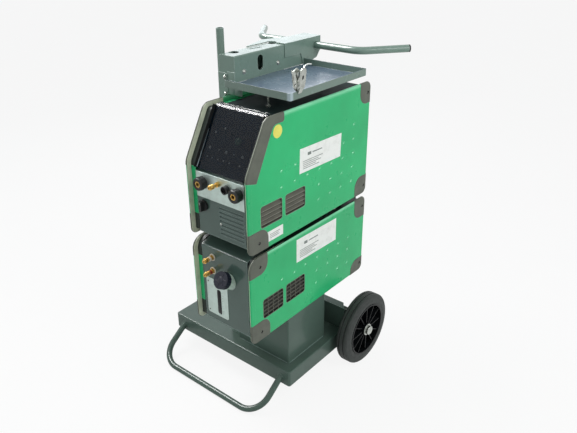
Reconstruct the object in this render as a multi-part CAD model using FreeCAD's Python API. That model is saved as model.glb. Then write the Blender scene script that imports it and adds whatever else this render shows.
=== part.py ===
import FreeCAD, Part
import math
import os

from FreeCAD import Vector

# A welding power source on its cooling unit, carried by a two-wheel trolley.
# Millimetres. While it is built, x = 0 is the trolley's middle, y = 0 the front edge
# of the units' side panels and z = 0 the floor. The last lines centre it on its base.

# General
SHEET = 2.0            # sheet steel of the units
PLATE = 3.0            # folded plate of the trolley
SEAT = 0.3             # gap between a loose piece and what it sits on
RUN = 0.05             # radial clearance of a turning or sliding fit
OVER = 5.0             # how far a cutting shape runs past the surface it cuts

# Both units
UNIT_X = 133.0         # middle plane of the units from the trolley's middle
UNIT_W = 250.0
UNIT_L = 620.0
WING = 24.0            # depth of a side panel's flanges
LIP = 5.0              # thickness of the thin lip that stands in front of the flanges
LINER_T = 2.3          # plastic liner inside the lip
LINER_BACK = 0.8       # liner's front edge behind the lip's
LINER_END = 165.0      # how far back the liner runs
PANEL_BEND = 4.5       # outer radius along a side panel's edges
UNIT_CORNER = 22.0     # corner radius of a side panel
RECESS = 17.0          # front panels lie this far behind the side panels
REAR_RECESS = 22.0
FLOOR_UP = 12.0        # a unit's floor above its side panels' lower edge
PANEL_GAP = 2.2        # dark gap between a front panel and the flanges beside it
UNIT_GAP = 15.0        # gap between the two units
COOLER_H = 306.0
POWER_H = 405.0

# Slanted front of the power source
SLANT_START = 248.0
SLANT_BACK = 88.0
SLANT_LOW_R = 50.0
SLANT_TOP_R = 28.0
COVER_LOW = 226.0      # lower edge of the smoked cover
COVER_T = 3.0
COVER_HALF = 98.0
COVER_DEPTH = 9.0
COVER_RETURN = (5.0, 140.0)    # how far up the slope the side returns run
COVER_BEND_R = 20.0
COVER_TOP_DROP = 3.0   # cover's top below the side panels' top
COVER_REAR = 134.0
KNUCKLE_R = 5.0
HINGE_LUG = 7.0        # width of the lug that holds each end of the hinge pin
LUG_CLEAR = 1.0
HINGE_PIN_R = 2.5
PANEL_BEHIND = 15.0    # control panel behind the cover's outer face
TOP_COVER_DROP = 14.0

# Corner guards: reach along y and z of each, and their screws
GUARD_PROUD = 0.8
GUARD_WALL = 2.6
GUARD_INNER_R = 36.0
POWER_GUARDS = [("front", "low", 86.0, 72.0), ("rear", "low", 71.0, 71.0), ("rear", "top", 61.0, 72.0)]
COOLER_GUARDS = [("front", "low", 85.0, 72.0), ("rear", "low", 75.0, 55.0),
                 ("rear", "top", 67.0, 77.0), ("front", "top", 80.0, 63.0)]
FRAME_BAND = [(-12.0, 238.0, 0.0), (40.0, 224.0, 0.0), (104.0, 352.0, 22.0), (120.0, 378.0, 22.0),
              (165.0, 378.0, 8.0), (165.0, 425.0, 0.0), (-12.0, 425.0, 0.0)]
COOLER_FRONT_R = 42.0
SCREW_HEAD_R = 5.0
SCREW_HEAD_T = 3.0
SCREW_R = 2.5
SCREW_FROM_FRONT = 45.0
SCREW_FROM_REAR = 17.3
SCREW_UP = 31.0
SCREW_DOWN = 36.0
SCREW_BOSS_R = 8.0

# Flanges' set-back from each side of the outline: bottom, rear, top, then the front
POWER_SET_BACK = (FLOOR_UP, REAR_RECESS, 14.0, RECESS, RECESS)
COOLER_SET_BACK = (FLOOR_UP, REAR_RECESS, 4.0, RECESS)

# Side grilles
GRILLE_Z = (74.0, 145.0)
GRILLE_Y = ((54.0, 153.0), (167.0, 266.0))
GRILLE_R = 9.0
GRILLE_WALL = 2.5
GRILLE_DEPTH = 9.0
BLADE_T = 1.8
BLADE_DROP = 11.0
BLADES = 4

# Power source front, places from the unit's middle and from its lower edge
STRIP_LOW = 136.0
STRIP_T = 1.5
SOCKETS = ((-70.0, 186.0), (76.0, 186.0))
SOCKET_R = 20.0
SOCKET_OUT = 24.0
CONTACT_R = 12.0
CONTACT_BORE_R = 6.5
CONTACT_BORE_L = 34.0
CONTACT_L = 44.0
CONTACT_BEHIND = 2.0     # contact behind the socket's front
SOCKET_EDGE_R = 3.0
KEYWAY_HALF = 2.0
KEYWAY_UP = 3.0
CONTROL_SOCKET = (30.0, 190.0)
CONTROL_SOCKET_R = 13.0
CONTROL_SOCKET_OUT = 13.0
CONTROL_SOCKET_WALL = 3.0
CONTROL_SOCKET_DEPTH = 8.0
CONTACT_PINS = 6
CONTACT_PIN_R = 1.3
CONTACT_PIN_RING = 6.0
CONTACT_PIN_FRONT = 2.0
GAS_OUTLET = (-5.0, 197.0)
SWITCH = (-73.0, 110.0)
SWITCH_R = 18.0
SWITCH_BASE_T = 7.0
SWITCH_GRIP_W = 10.0
SWITCH_GRIP_T = 12.0
SWITCH_GRIP_HALF = 16.0
SWITCH_SHAFT_R = 4.0
LOUVRE_X = (-8.0, 92.0)
LOUVRE_Z = (26.0, 124.0)
LOUVRES = 7
LOUVRE_SLOT = 8.0

# Control panel, places across it and up its slope from the cover's lower edge
KNOB = (21.0, 109.0)
KNOB_R = 11.0
KNOB_T = 9.0
KNOB_SHAFT_R = 3.0
KNOB_EDGE_R = 1.0
BUTTONS = ((-82.0, 70.0), (-14.0, 69.0), (51.0, 69.0))
BUTTON_R = 4.5
BUTTON_OUT = 3.0
BUTTON_L = 9.0
BUTTON_FLANGE_R = 5.5
BUTTON_FLANGE_T = 1.0
BUTTON_TRAVEL = 1.5

# Quick couplings for gas and coolant
COUPLING_HEX_R = 9.0
COUPLING_HEX_T = 8.0
COUPLING_STEM_R = 5.0
COUPLING_BORE_R = 3.0
COUPLING_LIP_R = 6.0
COUPLING_LIP_T = 3.0
COUPLING_OUT = 39.0
COLLAR_R = 8.0
COLLAR_L = 14.0
COLLAR_TRAVEL = 4.0
COOLANT_COUPLINGS = ((-52.0, 254.0), (-52.0, 205.0))

# Cooling unit front
BEND_Z = 288.0
CASING_TOP_DROP = 3.0
CASING_SLOPE_Y = 62.0
CASING_TOP_R = 12.0
CASING_FRONT_R = 4.0
GAUGE_X = (-86.0, 8.0)
GAUGE_Z = (37.0, 172.0)
GAUGE_T = 1.5
GAUGE_R = 8.0
SIGHT_X = (-40.0, -22.0)
SIGHT_Z = (45.0, 140.0)
NECK_X = 20.0
NECK_Z = 192.0
NECK_TILT = 31.0
NECK_R = 25.0
NECK_OUT = 42.0
CAP_R = 28.0
CAP_T = 20.0
CAP_TOP = 4.0
CAP_GRIPS = 18
CAP_GRIP_R = 1.8
TANK_X = (-92.0, 62.0)
TANK_Y = (21.0, 150.0)
TANK_Z = (40.0, 190.0)
TANK_WALL = 3.0
TANK_R = 8.0
TANK_FOOT_X = (-70.0, 20.0)
TANK_FOOT_Y = (60.0, 100.0)
TANK_FOOT_W = 20.0

# Mains cable gland in the power source's rear wall
GLAND_X = -60.0
GLAND_Z = 60.0
GLAND_R = 11.0
GLAND_BORE_R = 7.0
GLAND_HEAD_R = 15.0
GLAND_HEAD_T = 12.0

# Inside the units
FOOT_R = 14.0
FOOT_X = 70.0
POWER_FOOT_Y = (95.0, 525.0)
COOLER_FOOT_Y = (206.0, 354.0)
FAN_R = 56.0
FAN_HUB_R = 20.0
FAN_SHAFT_R = 4.0
FAN_T = 22.0
FAN_BLADES = 5
FAN_TWIST = 42.0
FAN_GAP = 2.0
FAN_Z_POWER = 205.0
FAN_Z_COOLER = 150.0
FAN_HOLE_RINGS = ((14.0, 6), (28.0, 12), (42.0, 18))
FAN_HOLE_R = 4.0
POWER_FAN_FROM_REAR = 90.0
COOLER_FAN_FROM_REAR = 142.0
MOTOR_R = 18.0
MOTOR_L = 40.0
STAND_HALF = 12.0
SINK_HALF = 70.0
SINK_Y = (150.0, 500.0)
SINK_T = 20.0
FIN_PITCH = 13.0
FIN_T = 3.0
FIN_END = 10.0
FIN_TOP = 90.0
BOARD_HALF = 80.0
BOARD_Y = (170.0, 430.0)
BOARD_T = 4.0
CAPACITOR_X = (-48.0, 0.0, 48.0)
CAPACITOR_Y = (220.0, 280.0)
CAPACITOR_R = 22.0
CAPACITOR_H = 70.0
CHOKE_HALF = 50.0
CHOKE_Y = (320.0, 410.0)
CHOKE_H = 96.0
PUMP_Y = (240.0, 380.0)
PUMP_UP = 75.0
PUMP_R = 45.0
PUMP_HEAD_R = 34.0
PUMP_HEAD_L = 30.0
PUMP_FOOT_HALF = 40.0
PUMP_FOOT_T = 8.0
SADDLE_HALF = 30.0
PORT_X = 18.0
PORT_Y = 225.0
PORT_R = 8.0
PORT_TOP = 145.0
RADIATOR_HALF = 92.0
RADIATOR_FROM_REAR = (80.0, 45.0)
RADIATOR_Z = (60.0, 240.0)
RADIATOR_PITCH = 8.0
RADIATOR_FIN_T = 4.0
CORE_FROM_REAR = (68.0, 58.0)
HEADER_W = 12.0
REAR_SLOT_X = -76.0
REAR_SLOT_Z = 62.0
REAR_SLOT_SIZE = (24.0, 8.0)
REAR_SLOT_PITCH = (32.0, 20.0)
REAR_SLOT_GRID = (5, 9)

# Trolley platform and pedestal
PLATFORM_HALF = 288.0
PLATFORM_Y = (145.0, 470.0)
PLATFORM_TOP = 138.0
PLATFORM_H = 60.0
PLATFORM_R = 8.0
PLATFORM_BEND = 4.0
PEDESTAL_HALF = 120.0
PEDESTAL_Y = (184.0, 393.0)
PEDESTAL_H = 190.0

# Rear axle frame
FRAME_TOP = 230.0
FRAME_FLANGE = 32.0
FRAME_CHAMFER = 26.0
FRAME_REAR = 600.0
FRAME_LOW = 78.0
CHEEK_LOW_R = 10.0
CHEEK_TOP_R = 20.0
AXLE_Y = 524.0
AXLE_R = 10.0
AXLE_SHOULDER_R = 14.0
AXLE_CAP_R = 17.0
AXLE_CAP_T = 12.0
AXLE_CAP_WALL = 2.0
AXLE_CAP_EDGE_R = 3.0

# Wheels
WHEEL_R = 139.0
WHEEL_X = (307.0, 361.0)
TYRE_HALF = 26.0
TYRE_IN_R = 101.0
TYRE_BEAD = 2.0
TYRE_TAPER = 4.0
TYRE_BULGE_UP = 14.0
TYRE_WALL_R = 8.0
TYRE_SHOULDER_R = 10.0
GROOVE_W = 3.5
GROOVE_D = 4.0
GROOVE_X = 8.5
RIM_HALF = 21.0
RIM_T = 5.0
HUB_R = 24.0
RIBS = 12
RIB_T = 2.6
WEB_HALF = 2.0
HUB_EDGE_R = 2.0

# Foot loop
LOOP_TUBE_R = 11.0
LOOP_WALL = 2.0
LOOP_HALF = 246.0
LOOP_FRONT_Y = 19.0
LOOP_BEND_R = 78.0
LOOP_ANGLE = 35.2
LOOP_INSIDE = 24.0

# Uprights, beam, handle; names that end in UP are heights above the units' top
UPRIGHT_X = (-35.8, 3.0)
UPRIGHT_D = 50.0
FRONT_UPRIGHT_Y = 200.0
FRONT_UPRIGHT_UP = 65.0
REAR_UPRIGHT_UP = 96.0
BEAM_HALF = 32.5
BEAM_Y1 = 632.0
BEAM_UP = (39.0, 119.0)
BEAM_BEND = 4.0
BEAM_REAR_LOW_UP = 74.0
BEAM_REAR_START = 560.0
BEAM_REAR_FLAT = 2.0
BEAM_REAR_BACK = 20.0
BEAM_REAR_UP = 12.0
BEAM_REAR_R = 14.0
BEAM_HOLES = ((-14.0, 250.0, 17.0), (-16.0, 431.0, 16.0))
BEAM_SLOT = ((-7.0, 318.0), (-1.0, 363.0), 4.0)
SLEEVE_HOLE_CLEAR = 1.0  # holes are this much wider in the sleeve
OVAL_Y = 321.0
OVAL_UP = (58.0, 106.0)
OVAL_HALF = 13.0
SLEEVE_Y0 = 440.0
SLEEVE_LOW_UP = 77.0
SLEEVE_NOTCH = (96.0, 84.0)
LUG = [(-35.8, 331.0), (-71.0, 447.0), (-35.8, 542.0)]
HANDLE_R = 12.5
HANDLE_WALL = 2.0
HANDLE_UP = 94.0
HANDLE_Y = 604.0
HANDLE_BEND_X = 214.0
HANDLE_BEND_R = 70.0
HANDLE_END = (320.0, 742.65)
END_CAP_T = 5.0
END_CAP_PLUG = 15.0
POST_R = 12.0
POST_WALL = 2.0
POST_Y = 229.0
POST_UP = 192.0
BEAM_SCREW_Y = (245.0, 407.0)
BEAM_SCREW_UP = 66.0
UPRIGHT_SCREW_DOWN = (12.0, 64.0)
UPRIGHT_SCREW_IN = 8.0

# Tray and work clamp
TRAY_X1 = 288.0
TRAY_Y = (157.0, 541.0)
TRAY_LIP = 22.0
TRAY_TONGUE_Y = (262.0, 412.0)
TRAY_R = 4.0
PROP_X = 158.0
PROP_Y = (212.0, 470.0)
PROP_R = 3.0
PROP_PAD_R = 8.0
PROP_PAD_T = 5.0
CLAMP_Y = 196.0
CLAMP_PIVOT_UP = 15.0
CLAMP_W = 30.0
CLAMP_T = 2.0
CLAMP_PIN_R = 3.0
CLAMP_JAW = 27.0
CLAMP_ARM = 44.0
CLAMP_SPREAD = 14.0
CLAMP_LEAN = 3.0
CLAMP_KINK = 12.0
CLAMP_ELBOW = (6.0, 14.0)
CLAMP_BEND_R = 5.0

# Heights and places that follow
COOLER_Z = PLATFORM_TOP + PEDESTAL_H
POWER_Z = COOLER_Z + COOLER_H + UNIT_GAP
HALF_W = UNIT_W / 2
INNER_HALF = HALF_W - WING - SEAT
CASING_TOP = COOLER_H - CASING_TOP_DROP
FRONT_HALF = INNER_HALF - PANEL_GAP
FRONT_Y = RECESS
REAR_Y = UNIT_L - REAR_RECESS
SLANT = math.atan2(SLANT_BACK, POWER_H - SLANT_START)
OUTWARD = (0.0, -math.cos(SLANT), math.sin(SLANT))
POWER_FAN_Y = UNIT_L - POWER_FAN_FROM_REAR
COOLER_FAN_Y = UNIT_L - COOLER_FAN_FROM_REAR
RADIATOR_Y = tuple(UNIT_L - from_rear for from_rear in RADIATOR_FROM_REAR)
CORE_Y = tuple(UNIT_L - from_rear for from_rear in CORE_FROM_REAR)
UNITS_TOP = POWER_Z + POWER_H
FRONT_UPRIGHT_TOP = UNITS_TOP + FRONT_UPRIGHT_UP
REAR_UPRIGHT_TOP = UNITS_TOP + REAR_UPRIGHT_UP
BEAM_Z = tuple(UNITS_TOP + up for up in BEAM_UP)
BEAM_REAR_LOW = UNITS_TOP + BEAM_REAR_LOW_UP
OVAL_Z = tuple(UNITS_TOP + up for up in OVAL_UP)
SLEEVE_LOW = UNITS_TOP + SLEEVE_LOW_UP
HANDLE_Z = UNITS_TOP + HANDLE_UP
POST_TOP = UNITS_TOP + POST_UP
BEAM_SCREW_Z = UNITS_TOP + BEAM_SCREW_UP
TRAY_Z = BEAM_Z[0] - SHEET - SEAT
COUPLING_FRONT = FRONT_Y - COUPLING_OUT

nodes = {}


def box(x, y, z):
    """Box between the pairs x, y and z."""
    return Part.makeBox(x[1] - x[0], y[1] - y[0], z[1] - z[0], Vector(x[0], y[0], z[0]))


def rod(start, axis, radius, length):
    return Part.makeCylinder(radius, length, Vector(*start), Vector(*axis))


def pipe(start, axis, outer, inner, length):
    return rod(start, axis, outer, length).cut(rod(start, axis, inner, length))


def fuse(shapes):
    shapes = list(shapes)
    whole = shapes[0]
    if len(shapes) > 1:
        whole = whole.fuse(shapes[1:])
    return whole.removeSplitter()


def moved(shape, x=0.0, y=0.0, z=0.0):
    copy = shape.copy()
    copy.translate(Vector(x, y, z))
    return copy


def mirrored(shape, plane_x=0.0):
    return shape.mirror(Vector(plane_x, 0, 0), Vector(1, 0, 0))


def rounded_wire(points, radii, closed):
    """Wire through 3-D points whose corners are arcs of the given radii."""
    count = len(points)
    edges = []
    previous = None
    first = None
    for i, point in enumerate(points):
        end = not closed and i in (0, count - 1)
        if end or radii[i] <= 0:
            enter, leave, arc = point, point, None
        else:
            before = points[i - 1].sub(point).normalize()
            after = points[(i + 1) % count].sub(point).normalize()
            half = before.getAngle(after) / 2
            reach = radii[i] / math.tan(half)
            enter = point.add(before.multiply(reach))
            leave = point.add(after.multiply(reach))
            middle = enter.add(leave).multiply(0.5).sub(point).normalize()
            middle.multiply(radii[i] / math.sin(half) - radii[i])
            arc = Part.Arc(enter, point.add(middle), leave).toShape()
        if previous is not None and previous.distanceToPoint(enter) > 1e-6:
            edges.append(Part.makeLine(previous, enter))
        if arc is not None:
            edges.append(arc)
        if first is None:
            first = enter
        previous = leave
    if closed and previous.distanceToPoint(first) > 1e-6:
        edges.append(Part.makeLine(previous, first))
    return Part.Wire(edges)


def plate(corners, along, low, high):
    """Prism of an outline of (a, b, radius) corners, extruded along "x", "y" or "z"."""
    place = {"x": lambda a, b: Vector(low, a, b),
             "y": lambda a, b: Vector(a, low, b),
             "z": lambda a, b: Vector(a, b, low)}[along]
    step = {"x": Vector(1, 0, 0), "y": Vector(0, 1, 0), "z": Vector(0, 0, 1)}[along]
    wire = rounded_wire([place(c[0], c[1]) for c in corners], [c[2] for c in corners], True)
    return Part.Face(wire).extrude(step.multiply(high - low))


def inset(corners, depth):
    """The same outline with its sides moved inwards, by one depth or by one for each side."""
    sides = []
    count = len(corners)
    depths = depth if isinstance(depth, tuple) else (depth,) * count
    for i in range(count):
        a, b = corners[i], corners[(i + 1) % count]
        length = math.hypot(b[0] - a[0], b[1] - a[1])
        normal = ((a[1] - b[1]) / length, (b[0] - a[0]) / length)
        sides.append((normal, normal[0] * a[0] + normal[1] * a[1] + depths[i]))
    result = []
    for i in range(count):
        (p, d), (q, e) = sides[i - 1], sides[i]
        turn = p[0] * q[1] - p[1] * q[0]
        first = (d * q[1] - e * p[1]) / turn
        second = (p[0] * e - q[0] * d) / turn
        radius = corners[i][2]
        if radius > 0:
            change = min(depths[i - 1], depths[i])
            radius = max(radius - change if turn > 0 else radius + change, 0.5)
        result.append((first, second, radius))
    return result


def rectangle(a, b, radius=0.0):
    return [(a[0], b[0], radius), (a[1], b[0], radius), (a[1], b[1], radius), (a[0], b[1], radius)]


def bent_tube(points, bend_r, outer, inner):
    """Tube along straight runs joined by arcs of one radius, with its bore."""
    wire = rounded_wire(points, [bend_r] * len(points), False)
    direction = points[1].sub(points[0])
    solids = []
    for radius in (outer, inner):
        circle = Part.Wire(Part.makeCircle(radius, points[0], direction))
        solids.append(wire.makePipeShell([circle], True, False))
    return solids[0].cut(solids[1])


def edges_where(shape, test):
    return [edge for edge in shape.Edges if test(edge)]


def flat_at(edge, axis, value):
    box_of = edge.BoundBox
    low = {"x": box_of.XMin, "y": box_of.YMin, "z": box_of.ZMin}[axis]
    high = {"x": box_of.XMax, "y": box_of.YMax, "z": box_of.ZMax}[axis]
    return abs(low - value) < 1e-3 and abs(high - value) < 1e-3


# Side panels, their corner guards and grilles

def power_outline():
    return [(0.0, 0.0, UNIT_CORNER), (UNIT_L, 0.0, UNIT_CORNER), (UNIT_L, POWER_H, UNIT_CORNER),
            (SLANT_BACK, POWER_H, SLANT_TOP_R), (0.0, SLANT_START, SLANT_LOW_R)]


def cooler_outline():
    return [(0.0, 0.0, UNIT_CORNER), (UNIT_L, 0.0, UNIT_CORNER), (UNIT_L, COOLER_H, UNIT_CORNER),
            (0.0, COOLER_H, COOLER_FRONT_R)]


def guard_region(guard, height):
    """Outline of the corner that a guard covers, anticlockwise, open past the panel."""
    end, level, reach_y, reach_z = guard
    out = GUARD_PROUD + OVER
    y = (-out, reach_y) if end == "front" else (UNIT_L - reach_y, UNIT_L + out)
    z = (-out, reach_z) if level == "low" else (height - reach_z, height + out)
    corners = rectangle(y, z)
    inner = {("front", "low"): 2, ("rear", "low"): 3, ("rear", "top"): 0, ("front", "top"): 1}[end, level]
    corners[inner] = (corners[inner][0], corners[inner][1], GUARD_INNER_R)
    return corners


def guard_screw_place(guard, height):
    end, level = guard[:2]
    y = SCREW_FROM_FRONT if end == "front" else UNIT_L - SCREW_FROM_REAR
    z = SCREW_UP if level == "low" else height - SCREW_DOWN
    return y, z


def block(outline, inner_x, outer_x):
    """Solid of a side outline whose outer edges are rounded."""
    solid = plate(outline, "x", inner_x, outer_x)
    return solid.makeFillet(PANEL_BEND, edges_where(solid, lambda e: flat_at(e, "x", outer_x)))


def grille_openings(grow=0.0):
    return [inset(rectangle(y, GRILLE_Z, GRILLE_R), -grow) for y in GRILLE_Y]


def flanges(outline, depths, wall, outer_x):
    """Ring of flanges set back from a side panel's edge."""
    ring = inset(outline, depths)
    inner_x = HALF_W - WING
    solid = plate(ring, "x", inner_x, outer_x)
    return solid.cut(plate(inset(ring, wall), "x", inner_x - OVER, outer_x + OVER))


def side_panel(outline, depths, regions):
    """Right-hand side panel: skin with a hemmed lip, and flanges set back behind it."""
    lip = block(outline, HALF_W - LIP, HALF_W)
    lip = lip.cut(plate(inset(outline, LIP), "x", HALF_W - LIP - OVER, HALF_W - SHEET))
    solid = lip.fuse(flanges(outline, depths, SHEET, HALF_W - SHEET / 2))
    tools = [plate(o, "x", HALF_W - WING, HALF_W + OVER) for o in grille_openings()]
    for region in regions:
        tools.append(plate(inset(region, -SEAT), "x", HALF_W - WING - OVER, HALF_W + OVER))
    return solid.cut(tools)


def guard(outline, depths, region, screw):
    """Moulded guard over one corner, with a boss for its screw."""
    outer_x = HALF_W + GUARD_PROUD
    inside_x = HALF_W - WING
    solid = block(inset(outline, -GUARD_PROUD), HALF_W - LIP, outer_x)
    solid = solid.common(plate(region, "x", inside_x - OVER, outer_x + OVER))
    hollow = plate(inset(outline, LIP), "x", inside_x - OVER, outer_x - GUARD_WALL)
    solid = solid.cut(hollow.common(plate(inset(region, GUARD_WALL), "x", inside_x - OVER, outer_x + OVER)))
    ring = flanges(outline, depths, GUARD_WALL, outer_x - GUARD_WALL / 2)
    solid = solid.fuse(ring.common(plate(region, "x", inside_x - OVER, outer_x + OVER)))
    if screw is None:
        return solid
    start = (inside_x + SHEET, screw[0], screw[1])
    solid = solid.fuse(rod(start, (1, 0, 0), SCREW_BOSS_R, outer_x - GUARD_WALL / 2 - start[0]))
    solid = solid.cut(rod((inside_x - OVER, screw[0], screw[1]), (1, 0, 0), SCREW_R + SEAT, WING + 2 * OVER))
    seat_x = outer_x - SCREW_HEAD_T
    return solid.cut(rod((seat_x, screw[0], screw[1]), (1, 0, 0), SCREW_HEAD_R + SEAT, 2 * OVER))


def edge_liner(outline, depths):
    """Plastic strip inside the lip, from its edge back to the flanges."""
    x1 = HALF_W - LIP - SEAT
    front = inset(outline, LINER_BACK)
    solid = plate(front, "x", x1 - LINER_T, x1)
    behind = inset(outline, tuple(d - SEAT for d in depths))
    solid = solid.cut(plate(behind, "x", x1 - LINER_T - OVER, x1 + OVER))
    return solid.common(box((0, HALF_W), (0, LINER_END), (0, POWER_H)))


def guard_screw(screw):
    seat_x = HALF_W + GUARD_PROUD - SCREW_HEAD_T
    length = WING - SCREW_HEAD_T
    shank = rod((seat_x - length, screw[0], screw[1]), (1, 0, 0), SCREW_R, length)
    head = rod((seat_x, screw[0], screw[1]), (1, 0, 0), SCREW_HEAD_R, SCREW_HEAD_T - SEAT)
    return shank.fuse(head)


def side_grille(outline):
    """Louvred insert that snaps into an opening of a side panel from inside."""
    y0, z0 = min(c[0] for c in outline), min(c[1] for c in outline)
    y1, z1 = max(c[0] for c in outline), max(c[1] for c in outline)
    outer = inset(outline, SEAT)
    rim_x = HALF_W - GRILLE_DEPTH
    frame = plate(outer, "x", rim_x, HALF_W)
    behind = HALF_W - SHEET - SEAT
    frame = frame.fuse(plate(inset(outline, -GRILLE_WALL), "x", behind - SHEET, behind))
    frame = frame.cut(plate(inset(outer, GRILLE_WALL), "x", rim_x - OVER, HALF_W + OVER))
    blades = []
    pitch = (z1 - z0 - BLADE_DROP - GRILLE_WALL) / BLADES
    for i in range(BLADES):
        z = z0 + GRILLE_WALL + pitch * (i + 0.5)
        side = [(rim_x, z + BLADE_DROP, 0), (HALF_W - SEAT, z, 0),
                (HALF_W - SEAT, z + BLADE_T, 0), (rim_x, z + BLADE_DROP + BLADE_T, 0)]
        blades.append(plate(side, "y", y0 + GRILLE_WALL, y1 - GRILLE_WALL))
    return fuse([frame] + blades)


def place_pair(shapes, base_z):
    """Right-hand shapes of a unit moved to it, with their left-hand mirror images."""
    right = [moved(s, x=UNIT_X, z=base_z) for s in shapes]
    return right, [mirrored(s, UNIT_X) for s in right]


def make_sides():
    units = (("power", power_outline(), POWER_SET_BACK, POWER_H, POWER_GUARDS, POWER_Z),
             ("cooler", cooler_outline(), COOLER_SET_BACK, COOLER_H, COOLER_GUARDS, COOLER_Z))
    grilles = []
    screws = []
    for name, outline, depths, height, guards, base_z in units:
        regions = [guard_region(g, height) for g in guards]
        places = [guard_screw_place(g, height) for g in guards]
        if name == "power":
            regions.append(FRAME_BAND)
            places.append(None)
        right, left = place_pair([side_panel(outline, depths, regions)], base_z)
        nodes[name + "_side_right"] = right[0]
        nodes[name + "_side_left"] = left[0]
        parts = [guard(outline, depths, r, s) for r, s in zip(regions, places)]
        right, left = place_pair(parts + [edge_liner(outline, depths)], base_z)
        nodes[name + "_corner_guards"] = Part.makeCompound(right + left)
        right, left = place_pair([guard_screw(s) for s in places if s], base_z)
        screws += right + left
        right, left = place_pair([side_grille(o) for o in grille_openings()], base_z)
        grilles += right + left
    nodes["side_grilles"] = Part.makeCompound(grilles)
    nodes["screws"] = Part.makeCompound(screws + beam_screws())


# Power source

def power(shape):
    return moved(shape, x=UNIT_X, z=POWER_Z)


def cooler(shape):
    return moved(shape, x=UNIT_X, z=COOLER_Z)


def across(half=INNER_HALF):
    return (-half, half)


def louvred(sheet, slots_x, slots_z, count, face_y, into):
    """Sheet with slots across it and a sloping blade in each."""
    pitch = (slots_z[1] - slots_z[0]) / count
    blades = []
    for i in range(count):
        z = slots_z[0] + pitch * (i + 0.5) - LOUVRE_SLOT / 2
        opening = box(slots_x, (face_y - OVER, face_y + OVER), (z, z + LOUVRE_SLOT))
        sheet = sheet.cut(opening)
        back = face_y + into * LOUVRE_SLOT
        side = [(face_y, z - SHEET / 2, 0), (back, z + LOUVRE_SLOT, 0),
                (back, z + LOUVRE_SLOT + SHEET, 0), (face_y, z + SHEET / 2, 0)]
        blades.append(plate(side, "x", slots_x[0] - SHEET, slots_x[1] + SHEET))
    return fuse([sheet] + blades)


def slope_point(up, behind=0.0):
    """Point (y, z) this far up the slanted front from the cover's lower edge."""
    y = FRONT_Y + COVER_T + up * math.sin(SLANT) + behind * math.cos(SLANT)
    z = COVER_LOW + up * math.cos(SLANT) - behind * math.sin(SLANT)
    return y, z


def power_chassis():
    """Folded floor and rear wall with an air outlet and a hole for the gland."""
    z0 = FLOOR_UP
    top = POWER_H - TOP_COVER_DROP - SHEET - SEAT
    floor = box(across(), (FRONT_Y + SHEET + SEAT, REAR_Y), (z0, z0 + SHEET))
    rear = box(across(), (REAR_Y - SHEET, REAR_Y), (z0, top))
    sheet = floor.fuse(rear)
    holes = []
    for ring, count in FAN_HOLE_RINGS:
        for i in range(count):
            angle = 2 * math.pi * i / count
            place = (ring * math.cos(angle), REAR_Y - OVER, FAN_Z_POWER + ring * math.sin(angle))
            holes.append(rod(place, (0, 1, 0), FAN_HOLE_R, 2 * OVER))
    holes.append(rod((GLAND_X, REAR_Y - OVER, GLAND_Z), (0, 1, 0), GLAND_R + SEAT, 2 * OVER))
    return sheet.cut(holes)


def mains_gland():
    """Hexagonal plastic cable gland in the rear wall."""
    start = (GLAND_X, REAR_Y - SHEET - GLAND_HEAD_T / 2, GLAND_Z)
    body = rod(start, (0, 1, 0), GLAND_R, GLAND_HEAD_T / 2 + 2 * SHEET)
    head = hexagon(GLAND_X, GLAND_Z, GLAND_HEAD_R, REAR_Y + SEAT, REAR_Y + SEAT + GLAND_HEAD_T)
    bore = rod((GLAND_X, start[1] - OVER, GLAND_Z), (0, 1, 0), GLAND_BORE_R, 3 * GLAND_HEAD_T)
    return body.fuse(head).cut(bore)


def hexagon(x, z, radius, y0, y1):
    corners = []
    for i in range(6):
        angle = math.radians(60 * i + 30)
        corners.append((x + radius * math.cos(angle), z + radius * math.sin(angle), 0))
    return plate(corners, "y", y0, y1)


def power_top_cover():
    top = POWER_H - TOP_COVER_DROP
    y0 = slope_point(0, PANEL_BEHIND)[0] + (top - slope_point(0, PANEL_BEHIND)[1]) * math.tan(SLANT)
    y = (y0 + SHEET + SEAT, REAR_Y)
    sheet = box(across(), y, (top - SHEET, top))
    lip = box(across(INNER_HALF - SHEET), (y[0], y[0] + SHEET), (top - 4 * SHEET, top - SHEET))
    pin_y, pin_z = hinge_place()
    lugs = []
    for x in lug_sides():
        lugs.append(rod((x[0], pin_y, pin_z), (1, 0, 0), KNUCKLE_R, HINGE_LUG))
        lugs.append(box(x, (pin_y - KNUCKLE_R + LUG_CLEAR, pin_y + KNUCKLE_R), (top - SHEET, pin_z)))
    pin_hole = rod((-INNER_HALF, pin_y, pin_z), (1, 0, 0), HINGE_PIN_R, 2 * INNER_HALF)
    return fuse([sheet, lip] + lugs).cut(pin_hole)


def power_front_panel():
    """Front sheet with a louvred lower half and a ledge under the control panel."""
    ledge_z = slope_point(0, PANEL_BEHIND)[1]
    z0 = FLOOR_UP + SHEET + SEAT
    back = FRONT_Y + SHEET
    sheet = box(across(FRONT_HALF), (FRONT_Y, back), (z0, ledge_z))
    ledge_y = slope_point(0, PANEL_BEHIND)[0] + OVER
    ledge = box(across(FRONT_HALF), (FRONT_Y, ledge_y), (ledge_z - SHEET, ledge_z))
    foot = box(across(), (FRONT_Y, back + OVER), (z0, z0 + SHEET))
    sheet = louvred(sheet, LOUVRE_X, LOUVRE_Z, LOUVRES, FRONT_Y, 1)
    sheet = fuse([sheet, ledge, foot])
    return sheet.cut(front_holes())


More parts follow.
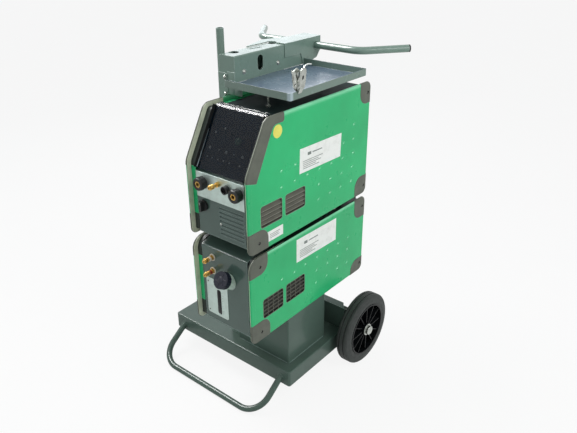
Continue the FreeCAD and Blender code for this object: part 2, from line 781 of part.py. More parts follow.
def front_holes():
    """Holes that the front panel and the strip share."""
    y = FRONT_Y - OVER
    holes = [rod((x, y, z), (0, 1, 0), CONTACT_R + SEAT, 3 * OVER) for x, z in SOCKETS]
    holes.append(rod((CONTROL_SOCKET[0], y, CONTROL_SOCKET[1]), (0, 1, 0), CONTROL_SOCKET_R / 2, 3 * OVER))
    holes.append(rod((GAS_OUTLET[0], y, GAS_OUTLET[1]), (0, 1, 0), COUPLING_STEM_R + SEAT, 3 * OVER))
    holes.append(rod((SWITCH[0], y, SWITCH[1]), (0, 1, 0), SWITCH_SHAFT_R + RUN, 3 * OVER))
    return holes


def connector_strip():
    face = box(across(FRONT_HALF), (FRONT_Y - STRIP_T, FRONT_Y), (STRIP_LOW, slope_point(0, PANEL_BEHIND)[1]))
    return face.cut(front_holes())


def control_panel():
    """Sloping plate with holes for the knob's shaft and the buttons."""
    low = slope_point(0, PANEL_BEHIND)
    top_z = POWER_H - TOP_COVER_DROP
    high = (low[0] + (top_z - low[1]) * math.tan(SLANT), top_z)
    flat = SHEET / math.cos(SLANT)
    side = [(low[0], low[1] + SEAT, 0), (low[0] + flat, low[1] + SEAT, 0),
            (high[0] + flat, high[1], 0), (high[0], high[1], 0)]
    sheet = plate(side, "x", -INNER_HALF, INNER_HALF)
    holes = [slope_rod(KNOB, -OVER, KNOB_SHAFT_R + RUN, 2 * OVER)]
    holes += [slope_rod(b, -OVER, BUTTON_R + RUN, 2 * OVER) for b in BUTTONS]
    return sheet.cut(holes)


def slope_rod(place, start, radius, length):
    """Rod square to the control panel, starting this far in front of its face."""
    y, z = slope_point(place[1], PANEL_BEHIND)
    base = (place[0], y + OUTWARD[1] * start, z + OUTWARD[2] * start)
    return rod(base, OUTWARD, radius, length)


def control_knob():
    knob = slope_rod(KNOB, SEAT, KNOB_R, KNOB_T)
    top = edges_where(knob, lambda e: abs(e.CenterOfMass.z - knob.BoundBox.ZMax) < KNOB_R)
    knob = knob.makeFillet(KNOB_EDGE_R, [e for e in top if e.Closed and len(e.Vertexes) == 1][:1])
    shaft = slope_rod(KNOB, -3 * SHEET, KNOB_SHAFT_R, 3 * SHEET + 2)
    return knob.fuse(shaft)


def button(place):
    """Push button with a flange behind the panel, drawn released."""
    cap = slope_rod(place, BUTTON_OUT - BUTTON_L, BUTTON_R, BUTTON_L)
    flange_at = -SHEET - SEAT - BUTTON_FLANGE_T
    return cap.fuse(slope_rod(place, flange_at, BUTTON_FLANGE_R, BUTTON_FLANGE_T))


def cover_side(depth):
    """Side outline of the cover between its outer face and this depth behind it."""
    top_z = POWER_H - COVER_TOP_DROP
    bend_y = slope_point(0)[0] + (top_z - COVER_LOW) * math.tan(SLANT)
    low = slope_point(0)
    shift = depth / math.cos(SLANT)
    inner_bend = bend_y + shift - depth * math.tan(SLANT)
    rear = COVER_REAR
    return [(low[0], low[1], 0), (low[0] + shift, low[1], 0),
            (inner_bend, top_z - depth, max(COVER_BEND_R - depth, 1.0)),
            (rear, top_z - depth, 0), (rear, top_z, 0), (bend_y, top_z, COVER_BEND_R)]


def hinge_place():
    return COVER_REAR + COVER_T, POWER_H - COVER_TOP_DROP - KNUCKLE_R


def lug_sides():
    """The pairs across x that the two lugs of the hinge take up."""
    return [(-COVER_HALF, HINGE_LUG - COVER_HALF), (COVER_HALF - HINGE_LUG, COVER_HALF)]


def panel_cover():
    """Smoked cover: a bent sheet with side returns, and a knuckle round the pin."""
    sheet = plate(cover_side(COVER_T), "x", -COVER_HALF, COVER_HALF)
    returns = []
    for x in (-COVER_HALF, COVER_HALF - COVER_T):
        low = slope_point(COVER_RETURN[0])
        high = slope_point(COVER_RETURN[1])
        back = (COVER_DEPTH * math.cos(SLANT), -COVER_DEPTH * math.sin(SLANT))
        side = [(low[0], low[1], 0), (low[0] + back[0], low[1] + back[1], 0),
                (high[0] + back[0], high[1] + back[1], 0), (high[0], high[1], 0)]
        returns.append(plate(side, "x", x, x + COVER_T))
    y, z = hinge_place()
    knuckle = rod((-COVER_HALF, y, z), (1, 0, 0), KNUCKLE_R, 2 * COVER_HALF)
    whole = fuse([sheet, knuckle] + returns)
    tools = [rod((-COVER_HALF - OVER, y, z), (1, 0, 0), HINGE_PIN_R + RUN, 2 * COVER_HALF + 2 * OVER)]
    reach = KNUCKLE_R + 3 * SEAT
    for x in lug_sides():
        tools.append(box((x[0] - SEAT, x[1] + SEAT), (y - reach, y + reach), (z - reach, z + reach)))
    return whole.cut(tools)


def hinge_pin():
    y, z = hinge_place()
    return rod((-COVER_HALF, y, z), (1, 0, 0), HINGE_PIN_R, 2 * COVER_HALF)


def current_socket(x, z):
    """Insulating body of a twist-lock socket."""
    front = FRONT_Y - STRIP_T - SOCKET_OUT
    body = rod((x, front, z), (0, 1, 0), SOCKET_R, SOCKET_OUT)
    ring = edges_where(body, lambda e: flat_at(e, "y", front))
    body = body.makeFillet(SOCKET_EDGE_R, ring)
    return body.cut(rod((x, front - OVER, z), (0, 1, 0), CONTACT_R + SEAT, SOCKET_OUT + 2 * OVER))


def control_socket():
    x, z = CONTROL_SOCKET
    front = FRONT_Y - STRIP_T - CONTROL_SOCKET_OUT
    body = rod((x, front, z), (0, 1, 0), CONTROL_SOCKET_R, CONTROL_SOCKET_OUT)
    hollow = CONTROL_SOCKET_R - CONTROL_SOCKET_WALL
    body = body.cut(rod((x, front - OVER, z), (0, 1, 0), hollow, OVER + CONTROL_SOCKET_DEPTH))
    places = [(x, z)]
    for i in range(CONTACT_PINS):
        angle = 2 * math.pi * i / CONTACT_PINS
        places.append((x + CONTACT_PIN_RING * math.cos(angle), z + CONTACT_PIN_RING * math.sin(angle)))
    pins = []
    for pin_x, pin_z in places:
        start = (pin_x, front + CONTACT_PIN_FRONT, pin_z)
        pins.append(rod(start, (0, 1, 0), CONTACT_PIN_R, CONTROL_SOCKET_DEPTH))
    stem = rod((x, FRONT_Y - STRIP_T, z), (0, 1, 0), CONTROL_SOCKET_R / 2 - SEAT, 4 * SHEET)
    return fuse([body, stem] + pins)


def socket_contact(x, z):
    """Brass contact with its bore and keyway."""
    front = FRONT_Y - STRIP_T - SOCKET_OUT + CONTACT_BEHIND
    body = rod((x, front, z), (0, 1, 0), CONTACT_R, CONTACT_L)
    body = body.cut(rod((x, front - OVER, z), (0, 1, 0), CONTACT_BORE_R, CONTACT_BORE_L + OVER))
    keyway = box((x - KEYWAY_HALF, x + KEYWAY_HALF), (front - OVER, front + CONTACT_BORE_L / 2),
                 (z, z + CONTACT_BORE_R + KEYWAY_UP))
    return body.cut(keyway)


def coupling_body(x, z, seat_y):
    """Brass nipple of a quick coupling: hexagon, stem, lip and through bore."""
    hex_part = hexagon(x, z, COUPLING_HEX_R, seat_y - COUPLING_HEX_T, seat_y)
    stem = rod((x, COUPLING_FRONT, z), (0, 1, 0), COUPLING_STEM_R, seat_y - COUPLING_FRONT + 5 * SHEET)
    lip = rod((x, COUPLING_FRONT, z), (0, 1, 0), COUPLING_LIP_R, COUPLING_LIP_T)
    bore = rod((x, COUPLING_FRONT - OVER, z), (0, 1, 0), COUPLING_BORE_R, 4 * COUPLING_OUT)
    return fuse([hex_part, stem, lip]).cut(bore)


def coupling_collar(x, z):
    """Sprung collar on the stem, drawn locked, against the lip."""
    front = COUPLING_FRONT + COUPLING_LIP_T + SEAT
    return pipe((x, front, z), (0, 1, 0), COLLAR_R, COUPLING_STEM_R + RUN, COLLAR_L)


def main_switch():
    """Knob of the main switch: round base, grip bar and shaft."""
    x, z = SWITCH
    face = FRONT_Y - SEAT
    base = rod((x, face - SWITCH_BASE_T, z), (0, 1, 0), SWITCH_R, SWITCH_BASE_T)
    grip = box((x - SWITCH_GRIP_W / 2, x + SWITCH_GRIP_W / 2),
               (face - SWITCH_BASE_T - SWITCH_GRIP_T, face - SWITCH_BASE_T),
               (z - SWITCH_GRIP_HALF, z + SWITCH_GRIP_HALF))
    shaft = rod((x, face, z), (0, 1, 0), SWITCH_SHAFT_R, 6 * SHEET)
    return fuse([base, grip, shaft])


def fan(x, y, z):
    """Axial fan wheel on a shaft along y."""
    hub = rod((x, y, z), (0, 1, 0), FAN_HUB_R, FAN_T)
    blades = []
    for i in range(FAN_BLADES):
        blade = box((x - SHEET / 2, x + SHEET / 2), (y - FAN_GAP, y + FAN_T + FAN_GAP),
                    (z + FAN_HUB_R - 2 * FAN_GAP, z + FAN_R))
        blade.rotate(Vector(x, y + FAN_T / 2, z), Vector(0, 0, 1), FAN_TWIST)
        blade.rotate(Vector(x, y, z), Vector(0, 1, 0), 360 * i / FAN_BLADES)
        blades.append(blade)
    whole = fuse([hub] + blades)
    return whole.cut(rod((x, y - OVER, z), (0, 1, 0), FAN_SHAFT_R + RUN, FAN_T + 2 * OVER))


def inverter_module():
    """Finned heat sink on the floor with its capacitors and the fan's motor."""
    z0 = FLOOR_UP + SHEET
    fins_z = (z0 + SINK_T, z0 + FIN_TOP)
    board_top = fins_z[1] + BOARD_T
    base = box(across(SINK_HALF), SINK_Y, (z0, z0 + SINK_T))
    fins = []
    count = int(2 * SINK_HALF / FIN_PITCH) + 1
    for i in range(count):
        x = (i - (count - 1) / 2) * FIN_PITCH
        fins.append(box((x - FIN_T / 2, x + FIN_T / 2), (SINK_Y[0] + FIN_END, SINK_Y[1] - FIN_END), fins_z))
    board = box(across(BOARD_HALF), BOARD_Y, (fins_z[1], board_top))
    cans = [rod((x, y, board_top), (0, 0, 1), CAPACITOR_R, CAPACITOR_H)
            for x in CAPACITOR_X for y in CAPACITOR_Y]
    choke = box(across(CHOKE_HALF), CHOKE_Y, (board_top, board_top + CHOKE_H))
    motor_y = POWER_FAN_Y - FAN_GAP - MOTOR_L
    stand = box(across(STAND_HALF), (motor_y, SINK_Y[1]), (z0 + SINK_T / 2, FAN_Z_POWER))
    motor = rod((0, motor_y, FAN_Z_POWER), (0, 1, 0), MOTOR_R, MOTOR_L)
    shaft = rod((0, motor_y, FAN_Z_POWER), (0, 1, 0), FAN_SHAFT_R, MOTOR_L + FAN_T)
    return fuse([base, board, choke, stand, motor, shaft] + fins + cans)


def make_power_source():
    nodes["power_chassis"] = power(power_chassis())
    nodes["mains_gland"] = power(mains_gland())
    nodes["power_top_cover"] = power(power_top_cover())
    nodes["power_front_panel"] = power(power_front_panel())
    nodes["connector_strip"] = power(connector_strip())
    nodes["control_panel"] = power(control_panel())
    nodes["control_knob"] = power(control_knob())
    for i, place in enumerate(BUTTONS):
        nodes["panel_button_%d" % (i + 1)] = power(button(place))
    nodes["panel_cover"] = power(panel_cover())
    nodes["hinge_pin"] = power(hinge_pin())
    sockets = [current_socket(*s) for s in SOCKETS] + [control_socket()]
    nodes["front_sockets"] = power(Part.makeCompound(sockets))
    nodes["socket_contacts"] = power(Part.makeCompound([socket_contact(*s) for s in SOCKETS]))
    nodes["gas_outlet"] = power(coupling_body(*GAS_OUTLET, FRONT_Y - STRIP_T))
    nodes["gas_outlet_collar"] = power(coupling_collar(*GAS_OUTLET))
    nodes["main_switch"] = power(main_switch())
    nodes["inverter_module"] = power(inverter_module())
    nodes["power_fan"] = power(fan(0, POWER_FAN_Y, FAN_Z_POWER))


# Cooling unit

def neck_axis():
    tilt = math.radians(NECK_TILT)
    return (0.0, -math.cos(tilt), math.sin(tilt))


def neck_rod(start, radius, length):
    """Rod along the filler neck, starting this far in front of the casing."""
    axis = neck_axis()
    base = (NECK_X, FRONT_Y + axis[1] * start, NECK_Z + axis[2] * start)
    return rod(base, axis, radius, length)


def cooler_casing():
    """Front and top in one folded sheet, with the holes for what comes through."""
    z0 = FLOOR_UP + SHEET + SEAT
    outer = [(FRONT_Y, z0, 0), (REAR_Y - SHEET - SEAT, z0, 0), (REAR_Y - SHEET - SEAT, CASING_TOP, 0),
             (CASING_SLOPE_Y, CASING_TOP, CASING_TOP_R), (FRONT_Y, BEND_Z, CASING_FRONT_R)]
    inner = inset(outer, SHEET)
    inner[0] = (inner[0][0], z0 - OVER, 0)
    inner[1] = (REAR_Y + OVER, z0 - OVER, 0)
    inner[2] = (REAR_Y + OVER, CASING_TOP - SHEET, 0)
    sheet = plate(outer, "x", -FRONT_HALF, FRONT_HALF)
    sheet = sheet.cut(plate(inner, "x", -FRONT_HALF - OVER, FRONT_HALF + OVER))
    return sheet.cut(casing_holes(SEAT))


def casing_holes(gap):
    y = (FRONT_Y - OVER, FRONT_Y + 2 * OVER)
    slot_r = (SIGHT_X[1] - SIGHT_X[0]) / 2 - SEAT
    holes = [plate(rectangle(SIGHT_X, SIGHT_Z, slot_r), "y", *y)]
    holes.append(neck_rod(-4 * OVER, NECK_R + gap, 8 * OVER))
    holes += [rod((x, y[0], z), (0, 1, 0), COUPLING_STEM_R + SEAT, 3 * OVER) for x, z in COOLANT_COUPLINGS]
    return holes


def gauge_plate():
    face = plate(rectangle(GAUGE_X, GAUGE_Z, GAUGE_R), "y", FRONT_Y - GAUGE_T, FRONT_Y)
    return face.cut(casing_holes(2 * SEAT))


def cooler_chassis():
    """Folded floor and rear wall with a grid of air slots."""
    floor = box(across(), (FRONT_Y, REAR_Y), (FLOOR_UP, FLOOR_UP + SHEET))
    rear = box(across(), (REAR_Y - SHEET, REAR_Y), (FLOOR_UP, CASING_TOP))
    sheet = floor.fuse(rear)
    holes = []
    for column in range(REAR_SLOT_GRID[0]):
        for row in range(REAR_SLOT_GRID[1]):
            x = REAR_SLOT_X + REAR_SLOT_PITCH[0] * column
            z = REAR_SLOT_Z + REAR_SLOT_PITCH[1] * row
            y = (REAR_Y - OVER, REAR_Y + OVER)
            holes.append(box((x, x + REAR_SLOT_SIZE[0]), y, (z, z + REAR_SLOT_SIZE[1])))
    return sheet.cut(holes)


def coolant_tank():
    """Blow-moulded hollow tank with its filler neck and two feet."""
    tank = box(TANK_X, TANK_Y, TANK_Z)
    tank = tank.makeFillet(TANK_R, tank.Edges)
    inner = box(*[(low + TANK_WALL, high - TANK_WALL) for low, high in (TANK_X, TANK_Y, TANK_Z)])
    neck = neck_rod(-8 * OVER, NECK_R, 8 * OVER + NECK_OUT)
    bore = neck_rod(-8 * OVER, NECK_R - TANK_WALL, 8 * OVER + NECK_OUT + OVER)
    feet_z = (FLOOR_UP + SHEET, TANK_Z[0] + TANK_R)
    feet = [box((x, x + TANK_FOOT_W), TANK_FOOT_Y, feet_z) for x in TANK_FOOT_X]
    whole = fuse([tank, neck] + feet)
    return whole.cut([inner, bore])


def filler_cap():
    start = NECK_OUT + CAP_TOP - CAP_T
    cap = neck_rod(start, CAP_R, CAP_T)
    grips = []
    for i in range(CAP_GRIPS):
        grip = neck_rod(start - OVER, CAP_GRIP_R, CAP_T + 2 * OVER)
        grip.translate(Vector(CAP_R + CAP_GRIP_R / 2, 0, 0))
        grip.rotate(Vector(NECK_X, FRONT_Y, NECK_Z), Vector(*neck_axis()), 360 * i / CAP_GRIPS)
        grips.append(grip)
    return cap.cut([neck_rod(start - OVER, NECK_R + SEAT, CAP_T - CAP_TOP + OVER + SEAT)] + grips)


def pump():
    """Coolant pump: motor, head with two ports and a foot."""
    z0 = FLOOR_UP + SHEET
    y0, y1 = PUMP_Y
    middle = z0 + PUMP_UP
    foot = box(across(PUMP_FOOT_HALF), PUMP_Y, (z0, z0 + PUMP_FOOT_T))
    saddle = box(across(SADDLE_HALF), (y0 + PUMP_FOOT_T, y1 - PUMP_FOOT_T), (z0, middle - PUMP_R / 2))
    motor = rod((0, y0, middle), (0, 1, 0), PUMP_R, y1 - y0)
    head = rod((0, y0 - PUMP_HEAD_L, middle), (0, 1, 0), PUMP_HEAD_R, 2 * PUMP_HEAD_L)
    ports = [rod((x, PORT_Y, middle), (0, 0, 1), PORT_R, PORT_TOP - PUMP_UP) for x in (-PORT_X, PORT_X)]
    return fuse([foot, saddle, motor, head] + ports)


def radiator():
    """Finned heat exchanger with headers, legs and the fan's motor in front."""
    z0 = FLOOR_UP + SHEET
    inside = RADIATOR_HALF - HEADER_W
    fins = []
    for i in range(int((RADIATOR_Z[1] - RADIATOR_Z[0]) / RADIATOR_PITCH)):
        z = RADIATOR_Z[0] + i * RADIATOR_PITCH
        fins.append(box(across(inside), RADIATOR_Y, (z, z + RADIATOR_FIN_T)))
    header_z = (z0, RADIATOR_Z[1] + HEADER_W)
    headers = [box((x, x + HEADER_W), RADIATOR_Y, header_z) for x in (-RADIATOR_HALF, inside)]
    core = box(across(inside), CORE_Y, RADIATOR_Z)
    bar = box(across(inside), (CORE_Y[1], CORE_Y[1] + RADIATOR_FIN_T),
              (FAN_Z_COOLER - MOTOR_R / 2, FAN_Z_COOLER + MOTOR_R / 2))
    motor_y = COOLER_FAN_Y + FAN_T + FAN_GAP
    motor = rod((0, motor_y, FAN_Z_COOLER), (0, 1, 0), MOTOR_R, CORE_Y[1] - motor_y)
    shaft = rod((0, COOLER_FAN_Y, FAN_Z_COOLER), (0, 1, 0), FAN_SHAFT_R, MOTOR_L)
    return fuse([core, bar, motor, shaft] + headers + fins)


def make_cooling_unit():
    nodes["cooler_casing"] = cooler(cooler_casing())
    nodes["cooler_chassis"] = cooler(cooler_chassis())
    nodes["gauge_plate"] = cooler(gauge_plate())
    nodes["coolant_tank"] = cooler(coolant_tank())
    nodes["filler_cap"] = cooler(filler_cap())
    bodies = [coupling_body(x, z, FRONT_Y) for x, z in COOLANT_COUPLINGS]
    nodes["coolant_couplings"] = cooler(Part.makeCompound(bodies))
    for name, place in zip(("feed_collar", "return_collar"), COOLANT_COUPLINGS):
        nodes[name] = cooler(coupling_collar(*place))
    nodes["pump"] = cooler(pump())
    nodes["radiator"] = cooler(radiator())
    nodes["cooler_fan"] = cooler(fan(0, COOLER_FAN_Y, FAN_Z_COOLER))


def rubber_feet():
    """Buffers between the units and between the cooling unit and the pedestal."""
    feet = []
    for x in (-FOOT_X, FOOT_X):
        for y in COOLER_FOOT_Y:
            feet.append(rod((UNIT_X + x, y, COOLER_Z), (0, 0, 1), FOOT_R, FLOOR_UP))
        for y in POWER_FOOT_Y:
            base = COOLER_Z + CASING_TOP
            feet.append(rod((UNIT_X + x, y, base), (0, 0, 1), FOOT_R, POWER_Z + FLOOR_UP - base))
    return Part.makeCompound(feet)


# Trolley

def loop_rise(y):
    return LOOP_TUBE_R + (y - LOOP_FRONT_Y) * math.tan(math.radians(LOOP_ANGLE))


def loop_points():
    inner_y = PLATFORM_Y[0] + LOOP_INSIDE
    points = []
    for x, y in ((-LOOP_HALF, inner_y), (-LOOP_HALF, LOOP_FRONT_Y),
                 (LOOP_HALF, LOOP_FRONT_Y), (LOOP_HALF, inner_y)):
        points.append(Vector(x, y, loop_rise(y)))
    return points


def base_platform():
    """Folded platform, open below, with holes for the foot loop's legs."""
    x = (-PLATFORM_HALF, PLATFORM_HALF)
    outer = plate(rectangle(x, PLATFORM_Y, PLATFORM_R), "z", PLATFORM_TOP - PLATFORM_H, PLATFORM_TOP)
    top = edges_where(outer, lambda e: flat_at(e, "z", PLATFORM_TOP))
    outer = outer.makeFillet(PLATFORM_BEND, top)
    inner = plate(inset(rectangle(x, PLATFORM_Y, PLATFORM_R), PLATE), "z",
                  PLATFORM_TOP - PLATFORM_H - OVER, PLATFORM_TOP - PLATE)
    legs = []
    points = loop_points()
    for inside, corner in ((points[0], points[1]), (points[3], points[2])):
        axis = corner.sub(inside)
        legs.append(rod(tuple(inside), tuple(axis), LOOP_TUBE_R + SEAT / 2, LOOP_INSIDE * 3))
    return outer.cut([inner] + legs)


def foot_loop():
    return bent_tube(loop_points(), LOOP_BEND_R, LOOP_TUBE_R, LOOP_TUBE_R - LOOP_WALL)


def pedestal():
    """Sheet box that lifts the units above the platform."""
    x = (UNIT_X - PEDESTAL_HALF, UNIT_X + PEDESTAL_HALF)
    z1 = PLATFORM_TOP + PEDESTAL_H
    outer = plate(rectangle(x, PEDESTAL_Y, PLATFORM_BEND), "z", PLATFORM_TOP, z1)
    inner = plate(inset(rectangle(x, PEDESTAL_Y, PLATFORM_BEND), SHEET), "z", PLATFORM_TOP - OVER, z1 - PLATE)
    return outer.cut(inner)


def axle_frame():
    """Rear frame: front wall with a chamfered top flange, cheeks for the axle, rear wall."""
    y0 = PLATFORM_Y[1] + SEAT
    half = PLATFORM_HALF
    wall = box((-half, half), (y0, y0 + PLATE), (FRAME_LOW, FRAME_TOP))
    bend_y = y0 + FRAME_FLANGE - FRAME_CHAMFER
    end_y = y0 + FRAME_FLANGE
    right = [(half, y0, 0), (half - FRAME_CHAMFER / 4, bend_y, 0), (half - FRAME_CHAMFER, end_y, 0)]
    left = [(-x, y, r) for x, y, r in right[::-1]]
    flange = plate(right + left, "z", FRAME_TOP - PLATE, FRAME_TOP)
    side = [(y0, FRAME_LOW, 0), (FRAME_REAR, FRAME_LOW, CHEEK_LOW_R),
            (FRAME_REAR, PLATFORM_TOP + AXLE_SHOULDER_R, CHEEK_TOP_R),
            (y0 + PLATE, FRAME_TOP - PLATE, 0), (y0, FRAME_TOP - PLATE, 0)]
    cheeks = [plate(side, "x", half - PLATE, half), plate(side, "x", -half, -half + PLATE)]
    rear = box((-half, half), (FRAME_REAR - PLATE, FRAME_REAR), (FRAME_LOW + CHEEK_LOW_R, PLATFORM_TOP))
    hole = rod((-half - OVER, AXLE_Y, WHEEL_R), (1, 0, 0), AXLE_R + SEAT / 2, 2 * half + 2 * OVER)
    return fuse([wall, flange, rear] + cheeks).cut(hole)


def axle():
    """Axle rod with a shoulder inside each wheel."""
    length = 2 * (WHEEL_X[1] + AXLE_CAP_T - AXLE_CAP_WALL)
    whole = [rod((-length / 2, AXLE_Y, WHEEL_R), (1, 0, 0), AXLE_R, length)]
    start = PLATFORM_HALF + SEAT
    for x in (start, -WHEEL_X[0] + SEAT):
        whole.append(rod((x, AXLE_Y, WHEEL_R), (1, 0, 0), AXLE_SHOULDER_R, WHEEL_X[0] - SEAT - start))
    return fuse(whole)


def axle_cap():
    """Pressed cap over the right end of the axle."""
    start = WHEEL_X[1] + SEAT
    cap = rod((start, AXLE_Y, WHEEL_R), (1, 0, 0), AXLE_CAP_R, AXLE_CAP_T)
    cap = cap.makeFillet(AXLE_CAP_EDGE_R, edges_where(cap, lambda e: flat_at(e, "x", start + AXLE_CAP_T)))
    depth = AXLE_CAP_T - AXLE_CAP_WALL - SEAT
    return cap.cut(rod((start - OVER, AXLE_Y, WHEEL_R), (1, 0, 0), AXLE_R, OVER + depth))


def about_axle(corners):
    """Solid turned about the right wheel's axis from (distance from its middle, radius) corners."""
    middle = (WHEEL_X[0] + WHEEL_X[1]) / 2
    points = [Vector(middle + c[0], AXLE_Y, WHEEL_R + c[1]) for c in corners]
    face = Part.Face(rounded_wire(points, [c[2] for c in corners], True))
    return face.revolve(Vector(middle, AXLE_Y, WHEEL_R), Vector(1, 0, 0), 360)


def tyre():
    bead = TYRE_HALF - TYRE_BEAD
    tread = TYRE_HALF - TYRE_TAPER
    wall_r = TYRE_IN_R + TYRE_BULGE_UP
    shape = about_axle([(-bead, TYRE_IN_R, 0), (bead, TYRE_IN_R, 0), (TYRE_HALF, wall_r, TYRE_WALL_R),
                        (tread, WHEEL_R, TYRE_SHOULDER_R), (-tread, WHEEL_R, TYRE_SHOULDER_R),
                        (-TYRE_HALF, wall_r, TYRE_WALL_R)])
    for x in (-GROOVE_X, GROOVE_X):
        low, high = x - GROOVE_W / 2, x + GROOVE_W / 2
        bottom, out = WHEEL_R - GROOVE_D, WHEEL_R + OVER
        shape = shape.cut(about_axle([(low, bottom, 0), (high, bottom, 0), (high, out, 0), (low, out, 0)]))
    return shape


def rim():
    """Moulded rim that runs on the axle: ring, hub, a thin web and ribs on both sides of it."""
    out_r = TYRE_IN_R - SEAT / 2
    in_r = out_r - RIM_T
    ring = about_axle([(-TYRE_HALF, in_r, 0), (TYRE_HALF, in_r, 0),
                       (TYRE_HALF, out_r, 0), (-TYRE_HALF, out_r, 0)])
    half_hub = (WHEEL_X[1] - WHEEL_X[0]) / 2
    bore = AXLE_R + RUN
    hub = about_axle([(-half_hub, bore, 0), (half_hub, bore, 0),
                      (half_hub, HUB_R, HUB_EDGE_R), (-half_hub, HUB_R, HUB_EDGE_R)])
    web_out = in_r + RIM_T / 2
    web = about_axle([(-WEB_HALF, bore, 0), (WEB_HALF, bore, 0),
                      (WEB_HALF, web_out, 0), (-WEB_HALF, web_out, 0)])
    middle = (WHEEL_X[0] + WHEEL_X[1]) / 2
    ribs = []
    for i in range(RIBS):
        rib = box((middle - RIM_HALF, middle + RIM_HALF), (AXLE_Y - RIB_T / 2, AXLE_Y + RIB_T / 2),
                  (WHEEL_R + HUB_R - HUB_EDGE_R, WHEEL_R + web_out))
        rib.rotate(Vector(middle, AXLE_Y, WHEEL_R), Vector(1, 0, 0), 360 * i / RIBS)
        ribs.append(rib)
    return fuse([ring, hub, web] + ribs)


def front_upright():
    """Folded channel in front of the beam's end, down to the platform."""
    x0, x1 = UPRIGHT_X
    y = (FRONT_UPRIGHT_Y, FRONT_UPRIGHT_Y + UPRIGHT_D)
    z = (PLATFORM_TOP, FRONT_UPRIGHT_TOP)
    web = box((x0, x1), (y[0], y[0] + PLATE), z)
    return fuse([web, box((x0, x0 + PLATE), y, z), box((x1 - PLATE, x1), y, z)])


def rear_upright():
    """Folded channel in front of the axle frame, notched to enter the beam."""
    x0, x1 = UPRIGHT_X
    y = (PLATFORM_Y[1] - UPRIGHT_D, PLATFORM_Y[1] - SEAT)
    z = (PLATFORM_TOP, REAR_UPRIGHT_TOP)
    web = box((x0, x1), (y[1] - PLATE, y[1]), z)
    channel = fuse([web, box((x0, x0 + PLATE), y, z), box((x1 - PLATE, x1), y, z)])
    notch_x = (x0 - OVER, -BEAM_HALF + PLATE + SEAT)
    return channel.cut(box(notch_x, (y[0] - OVER, y[1] + OVER), (BEAM_Z[0] - SEAT, z[1] + OVER)))


def beam_rear_corner():
    """What is cut off the lower rear corner of the beam and its sleeve, seen from the side."""
    out = 2 * OVER
    return [(BEAM_REAR_START, BEAM_Z[0] - out, 0), (BEAM_Y1 + out, BEAM_Z[0] - out, 0),
            (BEAM_Y1 + out, BEAM_REAR_LOW, 0), (BEAM_Y1 - BEAM_REAR_FLAT, BEAM_REAR_LOW, BEAM_REAR_R),
            (BEAM_Y1 - BEAM_REAR_BACK, BEAM_Z[0] + BEAM_REAR_UP, BEAM_REAR_R),
            (BEAM_REAR_START, BEAM_Z[0], 0)]


def top_holes(low, high, grow=0.0):
    """Round holes and the slanting slot through the top of the beam."""
    tools = [rod((x, y, low), (0, 0, 1), r + grow, high - low) for x, y, r in BEAM_HOLES]
    (ax, ay), (bx, by), r = BEAM_SLOT
    length = math.hypot(bx - ax, by - ay)
    across_x, across_y = -(by - ay) / length * r, (bx - ax) / length * r
    corners = [(ax - across_x, ay - across_y, 0), (bx - across_x, by - across_y, 0),
               (bx + across_x, by + across_y, 0), (ax + across_x, ay + across_y, 0)]
    tools.append(plate(corners, "z", low, high))
    tools += [rod((x, y, low), (0, 0, 1), r, high - low) for x, y in ((ax, ay), (bx, by))]
    return tools


def oval(x0, x1):
    """Upright oval opening through the beam's sides."""
    y = (OVAL_Y - OVAL_HALF, OVAL_Y + OVAL_HALF)
    return plate(rectangle(y, OVAL_Z, OVAL_HALF - SEAT), "x", x0, x1)


def top_beam():
    """Folded channel, open below, with a closed front end."""
    y = (FRONT_UPRIGHT_Y + PLATE + SEAT, BEAM_Y1)
    x = (-BEAM_HALF, BEAM_HALF)
    outer = box(x, y, BEAM_Z)
    long_top = edges_where(outer, lambda e: flat_at(e, "z", BEAM_Z[1]) and e.Length > y[1] - y[0] - 1)
    outer = outer.makeFillet(BEAM_BEND, long_top)
    inner_z = (BEAM_Z[0] - OVER, BEAM_Z[1] - PLATE)
    channel = outer.cut(box((x[0] + PLATE, x[1] - PLATE), (y[0] - OVER, y[1] + OVER), inner_z))
    front = box((x[0] + 1, x[1] - 1), (y[0], y[0] + PLATE), (FRONT_UPRIGHT_TOP + SEAT, BEAM_Z[1] - 1))
    channel = fuse([channel, front])
    tools = top_holes(BEAM_Z[1] - PLATE, BEAM_Z[1] + OVER)
    tools.append(oval(BEAM_HALF - 2 * OVER, BEAM_HALF + OVER))
    tools.append(plate(beam_rear_corner(), "x", -BEAM_HALF - OVER, BEAM_HALF + OVER))
    start = (-BEAM_HALF - OVER, HANDLE_Y, HANDLE_Z)
    tools.append(rod(start, (1, 0, 0), HANDLE_R + SEAT / 2, 2 * BEAM_HALF + 2 * OVER))
    tools += beam_screw_holes()
    return channel.cut(tools)


def beam_screw_holes():
    start = BEAM_HALF - 2 * OVER
    return [rod((start, y, BEAM_SCREW_Z), (1, 0, 0), SCREW_R + SEAT, 3 * OVER) for y in BEAM_SCREW_Y]


def beam_screws():
    """Screws in the beam's right side and in the front upright."""
    screws = []
    head_t = SCREW_HEAD_T
    for y in BEAM_SCREW_Y:
        shank = rod((BEAM_HALF - 2 * OVER, y, BEAM_SCREW_Z), (1, 0, 0), SCREW_R, 2 * OVER + SEAT)
        screws.append(shank.fuse(rod((BEAM_HALF + SEAT, y, BEAM_SCREW_Z), (1, 0, 0), SCREW_HEAD_R, head_t)))
    for down in UPRIGHT_SCREW_DOWN:
        start = (UPRIGHT_X[1] - UPRIGHT_SCREW_IN, FRONT_UPRIGHT_Y - SEAT, FRONT_UPRIGHT_TOP - down)
        screws.append(rod(start, (0, -1, 0), SCREW_HEAD_R, head_t))
    return screws


